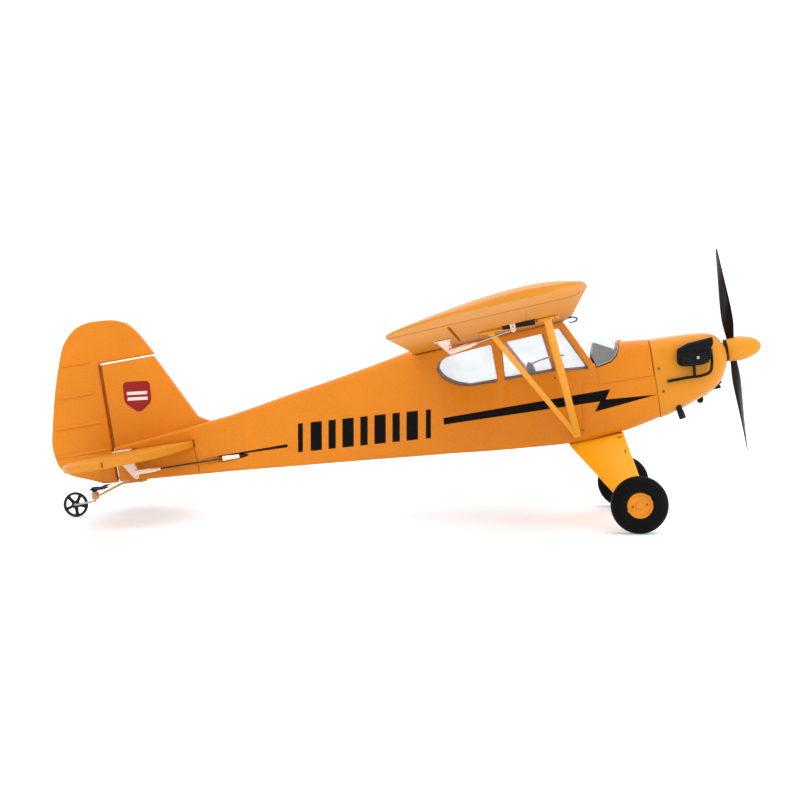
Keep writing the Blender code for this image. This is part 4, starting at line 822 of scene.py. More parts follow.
def wing_ring(y, side):
    """The wing's section at y, drawn in towards the rounded tip."""
    tip = max(0.0, (y - TIP_START) / (HALF_SPAN - TIP_START))
    nose = max(0.0, (y - TIP_NOSE_START) / (HALF_SPAN - TIP_NOSE_START))
    rear_edge = 0.36 + 0.64 * max(0.0, 1 - tip**TIP_FULLNESS) ** (1 / TIP_FULLNESS)
    front_edge = 0.22 * (1 - math.sqrt(max(0.0, 1 - nose**2)))
    thick = WING_THICKNESS * (1 - 0.68 * tip**3)
    raise_by = 0.3 * (WING_THICKNESS - thick)
    steps = 22
    ring = []
    for k in range(steps + 1):
        c = (1 + math.cos(math.pi * k / steps)) / 2
        place = front_edge + c * (rear_edge - front_edge)
        ring.append(wing_point(place, side * y, raise_by + lower_at(c) + thickness_at(c, thick)))
    for k in range(1, steps + 1):
        c = (1 - math.cos(math.pi * k / steps)) / 2
        place = front_edge + c * (rear_edge - front_edge)
        bow = 0.0016 * tip * c * (1 - c)
        ring.append(wing_point(place, side * y, raise_by + lower_at(c) - bow))
    return ring


def mould_line(side):
    """Cutter for the fine moulded line along the wing's underside."""
    rings = []
    for y in MOULD_LINE_SPAN:
        x, _, z = wing_point(MOULD_LINE_CHORD, y, 0)
        rings.append([(x + dx, side * y, z + dz) for dx, dz in
                      ((-0.0002, -0.001), (0.0002, -0.001), (0.0002, 0.0003), (-0.0002, 0.0003))])
    return loft(rings)


def make_wing():
    """The two wing panels, with what hangs on them."""
    spans = [SEAM / 2, 0.060, 0.130, 0.200, TIP_START]
    spans += [TIP_START + (HALF_SPAN - TIP_START) * math.sin(math.radians(90 * k / 16))
              for k in range(1, 17)]
    for name, side in SIDES:
        hinge = hinge_point(AILERON_INNER, side)
        base = under_wing(SERVO_X, SERVO_Y)
        reach = SERVO_HALF + SEAM
        cutters = [
            box((-0.24, side * (AILERON_INNER - 0.0004), 0.0),
                (hinge.x + 0.0010, side * (AILERON_OUTER + 0.0004), 0.1)),
            box((SERVO_X - reach, side * 0.1185, base - 0.005),
                (SERVO_X + reach, side * 0.1345, base + 0.0078)),
            mould_line(side)]
        panel = carve(loft([wing_ring(y, side) for y in spans]), cutters)
        piece(f"wing_panel_{name}", panel, WING_FOAM, replaced=[f"wing_{name}"],
              smooth=38)
        # A thin tube of the darker foam along the underside where the rounded tip begins: a painted shade line.
        line = wing_ring(TIP_START + 0.002, side)[24:44]
        piece(f"wing_tip_shade_line_{name}", tube(line, 0.0003, smooth=False), SHADE_FOAM)
        make_aileron(name, side)
        make_aileron_drive(name, side)


def make_aileron(name, side):
    """An aileron, with its front edge bevelled next to the hinge line."""
    rings = []
    for y in (AILERON_INNER, 0.5 * (AILERON_INNER + AILERON_OUTER), AILERON_OUTER):
        ring = [wing_point(c, side * y, thickness_at(c, WING_THICKNESS))
                for c in (1.0, 0.95, 0.90, 0.85, 0.80, 0.75, 0.7075)]
        middle = thickness_at(0.7064, WING_THICKNESS)
        ring += [wing_point(0.7064, side * y, middle * share) for share in (0.9, 0.1)]
        ring += [wing_point(c, side * y, 0.0) for c in (0.7075, 0.80, 0.90, 1.0)]
        rings.append(ring)
    piece(f"aileron_panel_{name}", soften(loft(rings, split=False), 0.0003), WING_FOAM,
          f"aileron_{name}", [f"aileron_{name}"], smooth=38)


def horn_blade(outline, view, middle, holes):
    """A horn's blade with a row of small holes."""
    turn, across = view
    cutters = []
    for a, b in holes:
        low = turn @ Vector((a, b, 0)) + across * (middle - 0.003)
        high = turn @ Vector((a, b, 0)) + across * (middle + 0.003)
        cutters.append(rod(low, high, 0.00045, segments=12))
    return soften(carve(plate(rounded(outline, 0.0008, 3), 0.0012, view, middle), cutters),
                  0.0002)


def clevis_rod(start, end):
    """A pushrod's straight wire and its clevis."""
    start, end = Vector(start), Vector(end)
    along = (end - start).normalized()
    root = end - along * 0.0130
    wire = tube([start, root + along * 0.002], 0.0006, smooth=False)
    cheeks = []
    half_slot = 0.0011
    for cheek in (-1, 1):
        inner, outer = cheek * half_slot, cheek * (half_slot + 0.0010)
        rings = []
        for place, half in ((end + along * 0.0016, 0.0011), (end + along * 0.0004, 0.0016),
                            (root + along * 0.0060, 0.0015), (root + along * 0.0032, 0.0016)):
            rings.append([place + Vector((0, py, pz)) for py, pz in
                          ((inner, -half), (outer, -half), (outer, half), (inner, half))])
        cheeks.append(soften(loft(rings, split=False), 0.0002))
    reach = half_slot + 0.0010
    neck = []
    for place, half, width in ((root + along * 0.0036, 0.0016, reach),
                               (root + along * 0.0008, 0.0015, reach),
                               (root - along * 0.0010, 0.0011, 0.0012),
                               (root - along * 0.0034, 0.0010, 0.0010)):
        neck.append([place + Vector((0, width * math.cos(a), half * math.sin(a)))
                     for a in (math.radians(45 + 30 * k) for k in range(12))])
    return wire, joined(cheeks + [loft(neck, split=False)])


def make_aileron_drive(name, side):
    """An aileron's servo, arm, pushrod and horn."""
    y = side * LINK_Y
    base = under_wing(SERVO_X, SERVO_Y)
    case = soften(box((SERVO_X - SERVO_HALF, side * 0.1190, base - 0.0025),
                      (SERVO_X + SERVO_HALF, side * 0.1290, base + 0.0066)), 0.0004)
    shaft = Vector((WING_ARM_X, y, base + WING_ARM_RISE))
    boss = rod((shaft.x, side * 0.1285, shaft.z), (shaft.x, side * 0.1312, shaft.z), 0.0018)
    piece(f"aileron_servo_case_{name}", joined([case, boss]), BLACK,
          replaced=[f"aileron_servo_{name}"])

    tip = shaft + Vector((0, 0, -WING_ARM_LENGTH))
    arm = servo_arm(shaft, tip, 0.0022, 0.0015, y)
    piece(f"aileron_servo_arm_{name}", arm, PALE, f"aileron_arm_{name}",
          [f"aileron_arm_{name}"])

    hinge = hinge_point(LINK_Y, side)
    hole = hinge + Vector((-WING_HORN_BACK, 0, -WING_HORN_DROP))
    skin = Vector(wing_point(0.78, y, -SEAM))
    outline = [(skin.x + 0.0042, skin.z + 0.0002), (hole.x + 0.0016, hole.z),
               (hole.x, hole.z - 0.0018), (hole.x - 0.0018, hole.z),
               (skin.x - 0.0045, skin.z - 0.0003)]
    holes = [(hole.x, hole.z + 0.0022 * k) for k in range(3)]
    blade = horn_blade(outline, SIDE_VIEW, y, holes)
    lean = WING_SLOPE * 0.0050
    flange = []
    for drop in (0.0, 0.0010):
        flange.append([(skin.x + dx, y + side * dy, skin.z + lean * dx / 0.0050
                        + dy * DIHEDRAL - drop)
                       for dx, dy in ((0.0050, -0.0042), (0.0050, 0.0042), (-0.0050, 0.0042),
                                      (-0.0050, -0.0042))])
    foot = soften(loft(flange, split=False), 0.0003)
    piece(f"aileron_horn_plate_{name}", joined([blade, foot]), PALE, f"aileron_{name}",
          [f"aileron_horn_{name}"])
    heads = [screw((skin.x + dx, y + side * 0.0026, skin.z - 0.0010 + dx * WING_SLOPE
                    + 0.0026 * DIHEDRAL), (0, 0, -1), 0.0009, 0.0004) for dx in (0.0034, -0.0034)]
    piece(f"aileron_horn_screws_{name}", joined(heads), SCREW, f"aileron_{name}")

    wire, clevis = clevis_rod(tip + Vector((-0.0022, 0, -0.0002)), hole + Vector((0.0008, 0, 0)))
    body = f"aileron_pushrod_{name}"
    piece(f"aileron_rod_wire_{name}", wire, STEEL, body, [body])
    piece(f"aileron_rod_clevis_{name}", clevis, PALE, body)


def servo_arm(shaft, tip, shaft_radius, tip_radius, y):
    """A servo arm with rounded ends and its holes."""
    heading = math.atan2(tip.z - shaft.z, tip.x - shaft.x)
    degrees = math.degrees(heading)
    outline = arc_points(shaft.x, shaft.z, shaft_radius, shaft_radius, degrees + 90,
                         degrees + 270, 10)
    outline += arc_points(tip.x, tip.z, tip_radius, tip_radius, degrees - 90, degrees + 90, 8)
    cutters = []
    for share in (0.55, 0.78, 1.0):
        place = shaft.lerp(tip, share)
        cutters.append(rod((place.x, y - 0.003, place.z), (place.x, y + 0.003, place.z),
                           0.00042, segments=12))
    return soften(carve(plate(outline, 0.0012, SIDE_VIEW, y), cutters), 0.0002)


def make_struts():
    """One moulded V a side: two flattened bars with screwed feet, meeting in a rounded end."""
    for name, side in SIDES:
        end = Vector((STRUT_FOOT[0] - 0.0016, side * STRUT_FOOT[1], STRUT_FOOT[2] - 0.0004))
        shapes, heads = [], []
        for top_x, shift, half in ((STRUT_FRONT_TOP_X, 0.0004, 0.0025),
                                   (STRUT_REAR_TOP_X, -0.0008, 0.0021)):
            top_z = under_wing(top_x, STRUT_TOP_Y) - SEAM
            top = Vector((top_x, side * STRUT_TOP_Y, top_z - 0.0010))
            low = end + Vector((shift, 0, 0))
            thin = (low - top).normalized().cross(Vector((1, 0, 0))).normalized() * 0.0011
            rings = []
            for share in (0.0, 0.04, 0.5, 0.96, 1.0):
                middle = top.lerp(low, share)
                rings.append([middle + Vector((half * math.cos(a), 0, 0)) + thin * math.sin(a)
                              for a in (2 * math.pi * k / 16 for k in range(16))])
            flange = []
            for drop in (0.0, 0.0016):
                flange.append([(top_x + dx, side * (STRUT_TOP_Y + dy),
                                top_z + dx * WING_SLOPE + dy * DIHEDRAL - drop)
                               for dx, dy in rounded([(-0.0074, -0.0035), (0.0074, -0.0035),
                                                      (0.0074, 0.0035), (-0.0074, 0.0035)],
                                                     0.0028, 5)])
            shapes += [loft(rings, split=False), soften(loft(flange, split=False), 0.0003)]
            for dx in (-0.0052, 0.0052):
                heads.append(screw((top_x + dx, side * STRUT_TOP_Y,
                                    top_z + dx * WING_SLOPE - 0.0016), (0, 0, -1), 0.0012))
        eye = [end + Vector((0, side * reach, 0)) for reach in (0.0011, -0.0026)]
        shapes.append(soften(rod(eye[0], eye[1], 0.0029, segments=28), 0.0006, 3))
        piece(f"strut_{name}", joined(shapes), STRUT_YELLOW,
              replaced=[f"strut_front_{name}", f"strut_rear_{name}"])
        piece(f"strut_screws_{name}", joined(heads), SCREW)


# ---------------------------------------------------------------- tail
def make_tail():
    """Stabilizer, fin and what hangs on them."""
    plan = [(-0.3850, 0.0), (-0.3860, 0.020), (-0.3895, 0.045), (-0.3960, 0.072),
            (-0.4050, 0.094), (-0.4190, 0.1080), (-0.4274, 0.1098)]
    plan = [tuple(p) for p in refine(plan, 4)]
    outline = plan + [(x, -y) for x, y in plan[:0:-1]]
    stab = carve(plate(outline, STAB_THICKNESS, TOP_VIEW, STAB_Z),
                 [rod((ELEVATOR_HINGE_X, -0.0150, STAB_Z), (ELEVATOR_HINGE_X, 0.0150, STAB_Z),
                      0.0021)])
    piece("stabilizer_panel", soften(stab, 0.0012, 3, 50), WING_FOAM, replaced=["stabilizer"])
    hinge_x = RUDDER_HINGE_X + 0.0018
    fin = [(hinge_x, deck(-0.4432) - 0.0015), (hinge_x, FIN_TOP + 0.0005),
           (-0.4052, FIN_TOP + 0.0011), (-0.3810, 0.0138), (-0.3772, 0.0112),
           (-0.3700, deck(-0.3700) - 0.0015)]
    piece("fin_panel", soften(plate(fin, FIN_THICKNESS, SIDE_VIEW, 0), 0.0010, 3), FOAM,
          replaced=["fin"])
    # A strip in the hinge gap on the fin's side, in the darker foam: painted shade of the gap.
    shade_web = box((RUDDER_HINGE_X + 0.0001, -0.0004, deck(-0.4432) - 0.0010),
              (hinge_x + 0.0006, 0.0004, FIN_TOP + 0.0004))
    piece("fin_hinge_shade_web", shade_web, SHADE_FOAM)
    for name, side in SIDES:
        badge(name, side)
    make_elevator()
    make_rudder()
    make_tail_drive()
    make_tail_gear()


def badge(name, side):
    """A plain red shield with two pale bars."""
    face = side * (FIN_THICKNESS / 2 + 0.00006)
    shield = rounded([(-0.4300, 0.0460), (-0.4105, 0.0440), (-0.4115, 0.0290),
                      (-0.4215, 0.0222), (-0.4310, 0.0310)], 0.0035)
    piece(f"badge_{name}", plate(shield, 0.00010, SIDE_VIEW, face), DECAL_RED,
          smooth=None)
    bars = [plate([(x0, z0), (x1, z1), (x1 - 0.0003, z1 - 0.0022), (x0 - 0.0003, z0 - 0.0022)],
                  0.00008, SIDE_VIEW, face + side * 0.00009)
            for x0, z0, x1, z1 in ((-0.4280, 0.0385, -0.4135, 0.0370),
                                   (-0.4282, 0.0345, -0.4137, 0.0330))]
    piece(f"badge_bars_{name}", joined(bars), DECAL_PALE, smooth=None)


def make_elevator():
    """Both halves of the elevator on their bar, with the horn under the right one."""
    front = ELEVATOR_HINGE_X - 0.0007
    corner = [(front, 0.0092), (front, 0.1100)]
    edge = [(-0.4400, 0.1090), (-0.4520, 0.1035), (-0.4590, 0.0920), (-0.4630, 0.0720),
            (-0.4640, 0.0480), (-0.4640, 0.0180)]
    inner = [(-0.4500, 0.0104), (-0.4420, 0.0092)]
    plan = corner + [tuple(p) for p in refine(edge, 4)] + inner
    halves = [soften(plate([(x, side * y) for x, y in plan], STAB_THICKNESS, TOP_VIEW, STAB_Z),
                     0.0012, 3, 50) for _, side in SIDES]
    bar = rod((ELEVATOR_HINGE_X, -0.0130, STAB_Z), (ELEVATOR_HINGE_X, 0.0130, STAB_Z), 0.0016)
    piece("elevator_panels", joined(halves + [bar]), WING_FOAM, "elevator", ["elevator"])

    y = -TAIL_ROD_Y
    under = STAB_Z - STAB_THICKNESS / 2 - SEAM
    hole = (ELEVATOR_HINGE_X - 0.0005, STAB_Z - ELEVATOR_HORN_DROP)
    outline = [(front - 0.0008, under), (hole[0] + 0.0018, hole[1]),
               (hole[0] + 0.0014, hole[1] - 0.0036), (hole[0] - 0.0004, hole[1] - 0.0048),
               (hole[0] - 0.0024, hole[1] - 0.0030), (-0.4400, under)]
    holes = [(hole[0], hole[1] + 0.0024 * k) for k in range(-1, 3)]
    blade = horn_blade(outline, SIDE_VIEW, y, holes)
    flange = soften(box((-0.4425, y - 0.0040, under - 0.0010),
                        (front - 0.0006, y + 0.0040, under)), 0.0003)
    above = STAB_Z + STAB_THICKNESS / 2
    back = soften(box((-0.4425, y - 0.0040, above),
                      (front - 0.0010, y + 0.0040, above + 0.0009)), 0.0004)
    piece("elevator_horn_plate", joined([blade, flange, back]), PALE, "elevator",
          ["elevator_horn"])


def rib(points, thickness, height):
    """A raised rib along (x, z) points on both faces of a surface of that thickness."""
    meshes = []
    (x0, z0), (x1, z1) = points
    for _, side in SIDES:
        face = side * thickness / 2
        rings = []
        for share, size in ((0.0, 0.15), (0.12, 0.9), (0.80, 1.0), (1.0, 0.15)):
            x, z = x0 + share * (x1 - x0), z0 + share * (z1 - z0)
            half, up = 0.0013 * (0.4 + 0.6 * size), height * size
            profile = [(-half, -0.0003), (-half, 0.0), (-half * 0.5, up * 0.8), (0.0, up),
                       (half * 0.5, up * 0.8), (half, 0.0), (half, -0.0003)]
            rings.append([(x, face + side * lift, z + dz) for dz, lift in profile])
        meshes.append(loft(rings, split=False))
    return meshes


def make_rudder():
    """The rudder with its hinge web, ribs and horn."""
    front = RUDDER_HINGE_X - 0.0005
    top = FIN_TOP + 0.0015
    edge = [(-0.4560, -0.0235), (-0.4655, -0.0195), (-0.4780, -0.0145), (-0.4850, -0.0085),
            (-0.4880, 0.0010), (-0.4883, 0.0100), (-0.4864, 0.0200), (-0.4795, 0.0480),
            (-0.4705, 0.0743), (-0.4655, 0.0822), (-0.4592, 0.0880), (-0.4525, 0.0910),
            (-0.4440, 0.0920), (-0.4322, 0.0912), (-0.4255, 0.0893), (-0.4190, 0.0855),
            (-0.4126, 0.0772), (-0.4042, top + 0.0005)]
    outline = [(front, RUDDER_BOTTOM)] + [tuple(p) for p in refine(edge, 3)]
    outline += [(front + 0.0020, top), (front, top - 0.0005)]
    panel = soften(plate(outline, FIN_THICKNESS, SIDE_VIEW, 0), 0.0014, 3, 50)
    piece("rudder_panel", panel, FOAM, "rudder", ["rudder"])
    # A strip in the hinge gap on the rudder's side, in the darker foam: painted shade of the gap.
    shade_web = box((front - 0.0006, -0.0004, RUDDER_BOTTOM + 0.0016),
              (RUDDER_HINGE_X - 0.0001, 0.0004, FIN_TOP + 0.0004))
    piece("rudder_hinge_shade_web", shade_web, SHADE_FOAM, "rudder")
    ribs = []
    for z, rear, clear in ((0.0640, -0.4728, 0.0050), (0.0415, -0.4800, 0.0050),
                           (0.0200, -0.4855, 0.0045), (0.0, -0.4868, 0.0024)):
        ribs += rib([(rear, z), (front - clear, z)], FIN_THICKNESS, 0.0009)
    piece("rudder_ribs", joined(ribs), FOAM, "rudder", smooth=60)

    side_face, reach = FIN_THICKNESS / 2 + SEAM, RUDDER_HORN_REACH
    outline = [(front - 0.0030, side_face), (RUDDER_HINGE_X + 0.0018, reach),
               (RUDDER_HINGE_X, reach + 0.0020), (RUDDER_HINGE_X - 0.0024, reach),
               (front - 0.0105, side_face)]
    blade = horn_blade(outline, TOP_VIEW, RUDDER_HORN_Z,
                       [(RUDDER_HINGE_X, reach - 0.0022 * k) for k in range(3)])
    flange = soften(box((front - 0.0120, side_face, RUDDER_HORN_Z - 0.0008),
                        (front - 0.0008, side_face + 0.0010, RUDDER_HORN_Z + 0.0040)), 0.0003)
    piece("rudder_horn_plate", joined([blade, flange]), PALE, "rudder", ["rudder_horn"])


def make_tail_drive():
    """Pushrods, servo arms and guide sleeves of the elevator and the rudder."""
    for name, rear, side_name in (("elevator", ELEVATOR_HINGE_X + 0.0008, "right"),
                                  ("rudder", RUDDER_HINGE_X + 0.0046, "left")):
        wire, clevis = clevis_rod(rod_line(name, TAIL_ARM_X - 0.0025), rod_line(name, rear))
        body = f"{name}_pushrod"
        piece(f"{name}_rod_wire", wire, DARK_STEEL, body, [body])
        piece(f"{name}_rod_clevis", clevis, PALE, body)
        tip = rod_line(name, TAIL_ARM_X)
        shaft = tip - Vector((0, 0, TAIL_ARM_LENGTH))
        arm = servo_arm(shaft, tip, 0.0024, 0.0016, shaft.y)
        piece(f"{name}_servo_arm", arm, PALE, f"{name}_arm", [f"{name}_arm"])
        guide = carve(rod(rod_line(name, -0.3540), rod_line(name, -0.3660), 0.0018),
                      [rod(rod_line(name, -0.3500), rod_line(name, -0.3700), 0.0009)])
        piece(f"guide_sleeve_{side_name}", guide, PALE, replaced=[f"guide_tube_{side_name}"])


def make_tail_gear():
    """Bracket, steered wire, tiller, springs and the spoked tail wheel."""
    under = -0.0244 - SEAM
    strap = [(-0.4250, belly(-0.4250) - SEAM), (-0.4432, under), (-0.4480, -0.0262),
             (-0.4640, -0.0318), (-0.4640, -0.0333), (-0.4470, -0.0278), (-0.4420, -0.0262),
             (-0.4250, belly(-0.4250) - SEAM - 0.0014)]
    barrel = rod((STEER_X, 0, -0.0338), (STEER_X, 0, -0.0290), 0.0027)
    bracket = carve(carve(plate(strap, 0.0060, SIDE_VIEW, 0), [barrel], "UNION"),
                    [rod((STEER_X, 0, -0.040), (STEER_X, 0, -0.020), 0.0011)])
    piece("tail_bracket_strap", soften(bracket, 0.0003), TAN, replaced=["tail_bracket"])
    heads = [screw((x, 0, z), (0.16, 0, -1), 0.0013, 0.0005)
             for x, z in ((-0.4290, belly(-0.4290) - 0.0019), (-0.4395, -0.0258))]
    piece("tail_bracket_screws", joined(heads), SCREW)

    ax, az = TAIL_AXLE
    out = TAIL_WHEEL_WIDTH / 2 + 0.0012
    wire = tube([(STEER_X, 0, -0.0262), (STEER_X, 0, -0.0342), (STEER_X - 0.0004, -0.0003, -0.0349),
                 (STEER_X - 0.0045, -out, -0.0352), (ax + 0.0010, -out, az),
                 (ax, 0.0006 - out, az), (ax, TAIL_WHEEL_WIDTH / 2 + 0.0008, az)], 0.0007,
                smooth=False)
    piece("tail_wheel_wire", wire, STEEL, "tail_wheel_strut", ["tail_wheel_strut"])
    tiller = soften(box((STEER_X - 0.0016, -0.0070, -0.0270),
                        (STEER_X + 0.0016, 0.0070, -0.0254)), 0.0004)
    collar = soften(rod((STEER_X, 0, -0.0287), (STEER_X, 0, -0.0250), 0.0020), 0.0003)
    piece("tiller_arm", joined([tiller, collar]), BLACK, "tail_wheel_strut")
    springs = [spring(Vector((STEER_X, side * 0.0060, -0.0268)),
                      Vector((-0.4540, side * 0.0044, -0.0268)), 0.0009, 8) for _, side in SIDES]
    piece("steering_springs", joined(springs), DARK_STEEL, "tail_wheel_strut")
    arm = soften(box((-0.4565, -0.0052, -0.0254), (-0.4525, 0.0052, -0.0247)), 0.0002)
    piece("rudder_steering_arm", arm, BLACK, "rudder")

    half = TAIL_WHEEL_WIDTH / 2
    rim = turned([(0.0072, half * 0.8), (0.0082, half), (TAIL_WHEEL_RADIUS - 0.0003, half * 0.7),
                  (TAIL_WHEEL_RADIUS, 0), (TAIL_WHEEL_RADIUS - 0.0003, -half * 0.7),
                  (0.0082, -half), (0.0072, -half * 0.8)], (ax, 0, az), (0, 1, 0), 48)
    hub = turned([(0.0011, half), (0.0024, half * 0.95), (0.0027, half * 0.7),
                  (0.0027, -half * 0.7), (0.0024, -half * 0.95), (0.0011, -half)],
                 (ax, 0, az), (0, 1, 0), 28)
    spokes = []
    for k in range(5):
        turn = math.radians(54 + 72 * k)
        along = Vector((math.cos(turn), 0, math.sin(turn)))
        across = Vector((-math.sin(turn), 0, math.cos(turn)))
        rings = []
        for reach, wide in ((0.0022, 0.0012), (0.0050, 0.0009), (0.0076, 0.0013)):
            centre = Vector((ax, 0, az)) + along * reach
            rings.append([centre + across * (wide * s) + Vector((0, half * 0.62 * t, 0))
                          for s, t in CORNERS])
        spokes.append(soften(loft(rings, split=False), 0.0002))
    piece("tail_wheel_spokes", joined([rim, hub] + spokes), BLACK, "tail_wheel",
          ["tail_wheel"])


def spring(start, end, radius, turns):
    """A small coil spring with straight ends."""
    axis = end - start
    along = axis.normalized()
    side = along.cross(Vector((0, 0, 1))).normalized()
    up = side.cross(along)
    points = [start]
    steps = turns * 10
    for k in range(steps + 1):
        turn = 2 * math.pi * k / 10
        share = 0.15 + 0.70 * k / steps
        points.append(start + axis * share + (side * math.cos(turn) + up * math.sin(turn))
                      * radius)
    points.append(end)
    return tube(points, 0.00032, smooth=False, resolution=2)


# ---------------------------------------------------------------- undercarriage
def make_undercarriage():
    """The bent bow with black patches painted as the shade in its slits, axle stubs and screws, and the main
    wheels.
    """
    ax, az = AXLE
    bend_y, foot_y = 0.0240, WHEEL_Y - WHEEL_WIDTH / 2 - 0.0045
    top_front, top_rear, low_front, low_rear = -0.0858, -0.1235, -0.0785, -0.0925
    clear = SEAM + 0.0015
    rows = [[Vector((low_rear, -foot_y, az - 0.0035)), Vector((low_front, -foot_y, az - 0.0035))],
            [Vector((top_rear, -bend_y, belly(top_rear) - clear)),
             Vector((top_front, -bend_y, belly(top_front) - clear))]]
    rows += [[Vector((p.x, -p.y, p.z)) for p in row] for row in reversed(rows)]
    bm = bmesh.new()
    strips = [[bm.verts.new(row[0].lerp(row[1], share)) for share in (0, 0.5, 1)]
              for row in rows]
    for first, second in zip(strips, strips[1:]):
        for i in range(2):
            bm.faces.new((first[i], first[i + 1], second[i + 1], second[i]))
    bow = soften(thicken(mesh_from(bm), 0.0022), 0.0006, 3, 30)
    # Thin black patches at the bow's faces: painted shade in the leg's slits.
    slit_shades = []
    for _, side in SIDES:
        top, low = Vector((0, side * bend_y, rows[1][1].z)), Vector((0, side * foot_y, rows[0][1].z))
        along = (low - top).normalized()
        out = Vector((0, side * abs(along.z), abs(along.y)))
        for x, share, half_x, half_run in ((-0.0890, 0.05, 0.0015, 0.0003),
                                           (-0.0873, 0.25, 0.0003, 0.0015)):
            middle = top.lerp(low, share) + Vector((x, 0, 0))
            rings = []
            for lift in (0.0008, 0.00115):
                rings.append([middle + out * lift + Vector((half_x * s, 0, 0)) + along * half_run * u
                              for s, u in CORNERS])
            slit_shades.append(loft(rings))
    piece("leg_slit_shade", joined(slit_shades), BLACK)
    stubs = [soften(rod((ax, side * (foot_y - 0.0060), az), (ax, side * (WHEEL_Y + 0.0042), az),
                        0.0015), 0.0002) for _, side in SIDES]
    bosses = [soften(rod((ax, side * (foot_y - 0.0024), az), (ax, side * (foot_y + 0.0020), az),
                         0.0034, 0.0030, 28), 0.0003) for _, side in SIDES]
    piece("landing_gear_bow", joined([bow] + bosses), LEG_YELLOW, replaced=["landing_gear"],
          smooth=30)
    piece("axle_stubs", joined(stubs), STEEL)
    plate_z = 0.5 * (belly(top_rear) + belly(top_front)) - clear - 0.0011
    tilt = (belly(top_front) - belly(top_rear)) / (top_front - top_rear)
    middle_x = 0.5 * (top_front + top_rear)
    heads = [screw((middle_x + dx, y, plate_z + dx * tilt), (tilt, 0, -1), 0.0016, 0.0006)
             for dx, y in ((0.0125, 0.0150), (0.0125, -0.0150), (-0.0130, 0.0150),
                           (-0.0130, -0.0150))]
    piece("landing_gear_screws", joined(heads), SCREW)
    for name, side in SIDES:
        make_wheel(name, side)


def make_wheel(name, side):
    """A main wheel: the soft tyre and the drilled hub."""
    centre = (AXLE[0], side * WHEEL_Y, AXLE[1])
    half, outer = WHEEL_WIDTH / 2, WHEEL_RADIUS
    inner = HUB_RADIUS + 0.0002
    wall = [(inner, half - 0.0014), (inner + 0.0009, half - 0.0004), (inner + 0.0024, half)]
    wall += arc_points(outer - 0.0056, half - 0.0056, 0.0056, 0.0056, 78, 14, 9)
    wall += [(outer, 0.0012)]
    profile = wall + [(radius, -height) for radius, height in reversed(wall)]
    piece(f"tyre_rubber_{name}", turned(profile, centre, (0, side, 0), 96), RUBBER,
          f"wheel_{name}", [f"tyre_{name}"], smooth=40)
    rim = HUB_RADIUS
    face = half - 0.0014
    hub = [(0.0, face - 0.0002), (0.0026, face - 0.0002), (0.0030, face - 0.0007),
           (0.0064, face - 0.0007), (0.0068, face - 0.0002), (0.0076, face + 0.0006),
           (rim - 0.0004, face + 0.0006), (rim, face), (rim, 0.0014 - half),
           (0.0080, 0.0008 - half), (0.0060, 0.0012 - half), (0.0034, 0.0006 - half),
           (0.0018, 0.0006 - half), (0.0018, 0.0046), (0.0, 0.0046)]
    mesh = turned(hub, centre, (0, side, 0), 72)
    mesh = carve(mesh, [rod((AXLE[0] + dx, side * (WHEEL_Y + half), AXLE[1]),
                            (AXLE[0] + dx, side * (WHEEL_Y + face - 0.0022), AXLE[1]), 0.0008)
                        for dx in (-0.0047, 0.0047)])
    piece(f"hub_disc_{name}", mesh, HUB_YELLOW, f"wheel_{name}", [f"hub_{name}"])


# ---------------------------------------------------------------- nose
# Cowl stations: x, half width, top, bottom, corner radius
COWL_ROWS = [(-0.0587, 0.0268, 0.0162, -0.0382, 0.0090), (-0.0450, 0.0268, 0.0160, -0.0346, 0.0100),
             (-0.0300, 0.0258, 0.0156, -0.0292, 0.0110), (-0.0200, 0.0240, 0.0148, -0.0248, 0.0120),
             (-0.0130, 0.0208, 0.0124, -0.0198, 0.0118), (-0.0085, 0.0155, 0.0068, -0.0125, 0.0085),
             (-0.0066, 0.0110, 0.0020, -0.0070, 0.0040)]


def cowl_ring(x, half, top, bottom, corner):
    """A section of the cowl with rounded corners."""
    ring = []
    for cy, cz, start in ((half - corner, top - corner, 0), (corner - half, top - corner, 90),
                          (corner - half, bottom + corner, 180),
                          (half - corner, bottom + corner, 270)):
        ring += [(x, y, z) for y, z in arc_points(cy, cz, corner, corner, start, start + 84, 7)]
    return ring


def cowl_side(x):
    """Half width of the cowl at x."""
    rows = refine(COWL_ROWS, 6)
    for front, rear in zip(rows[1:], rows):
        if rear[0] <= x <= front[0]:
            share = (x - rear[0]) / (front[0] - rear[0])
            return rear[1] + share * (front[1] - rear[1])
    return rows[-1][1]


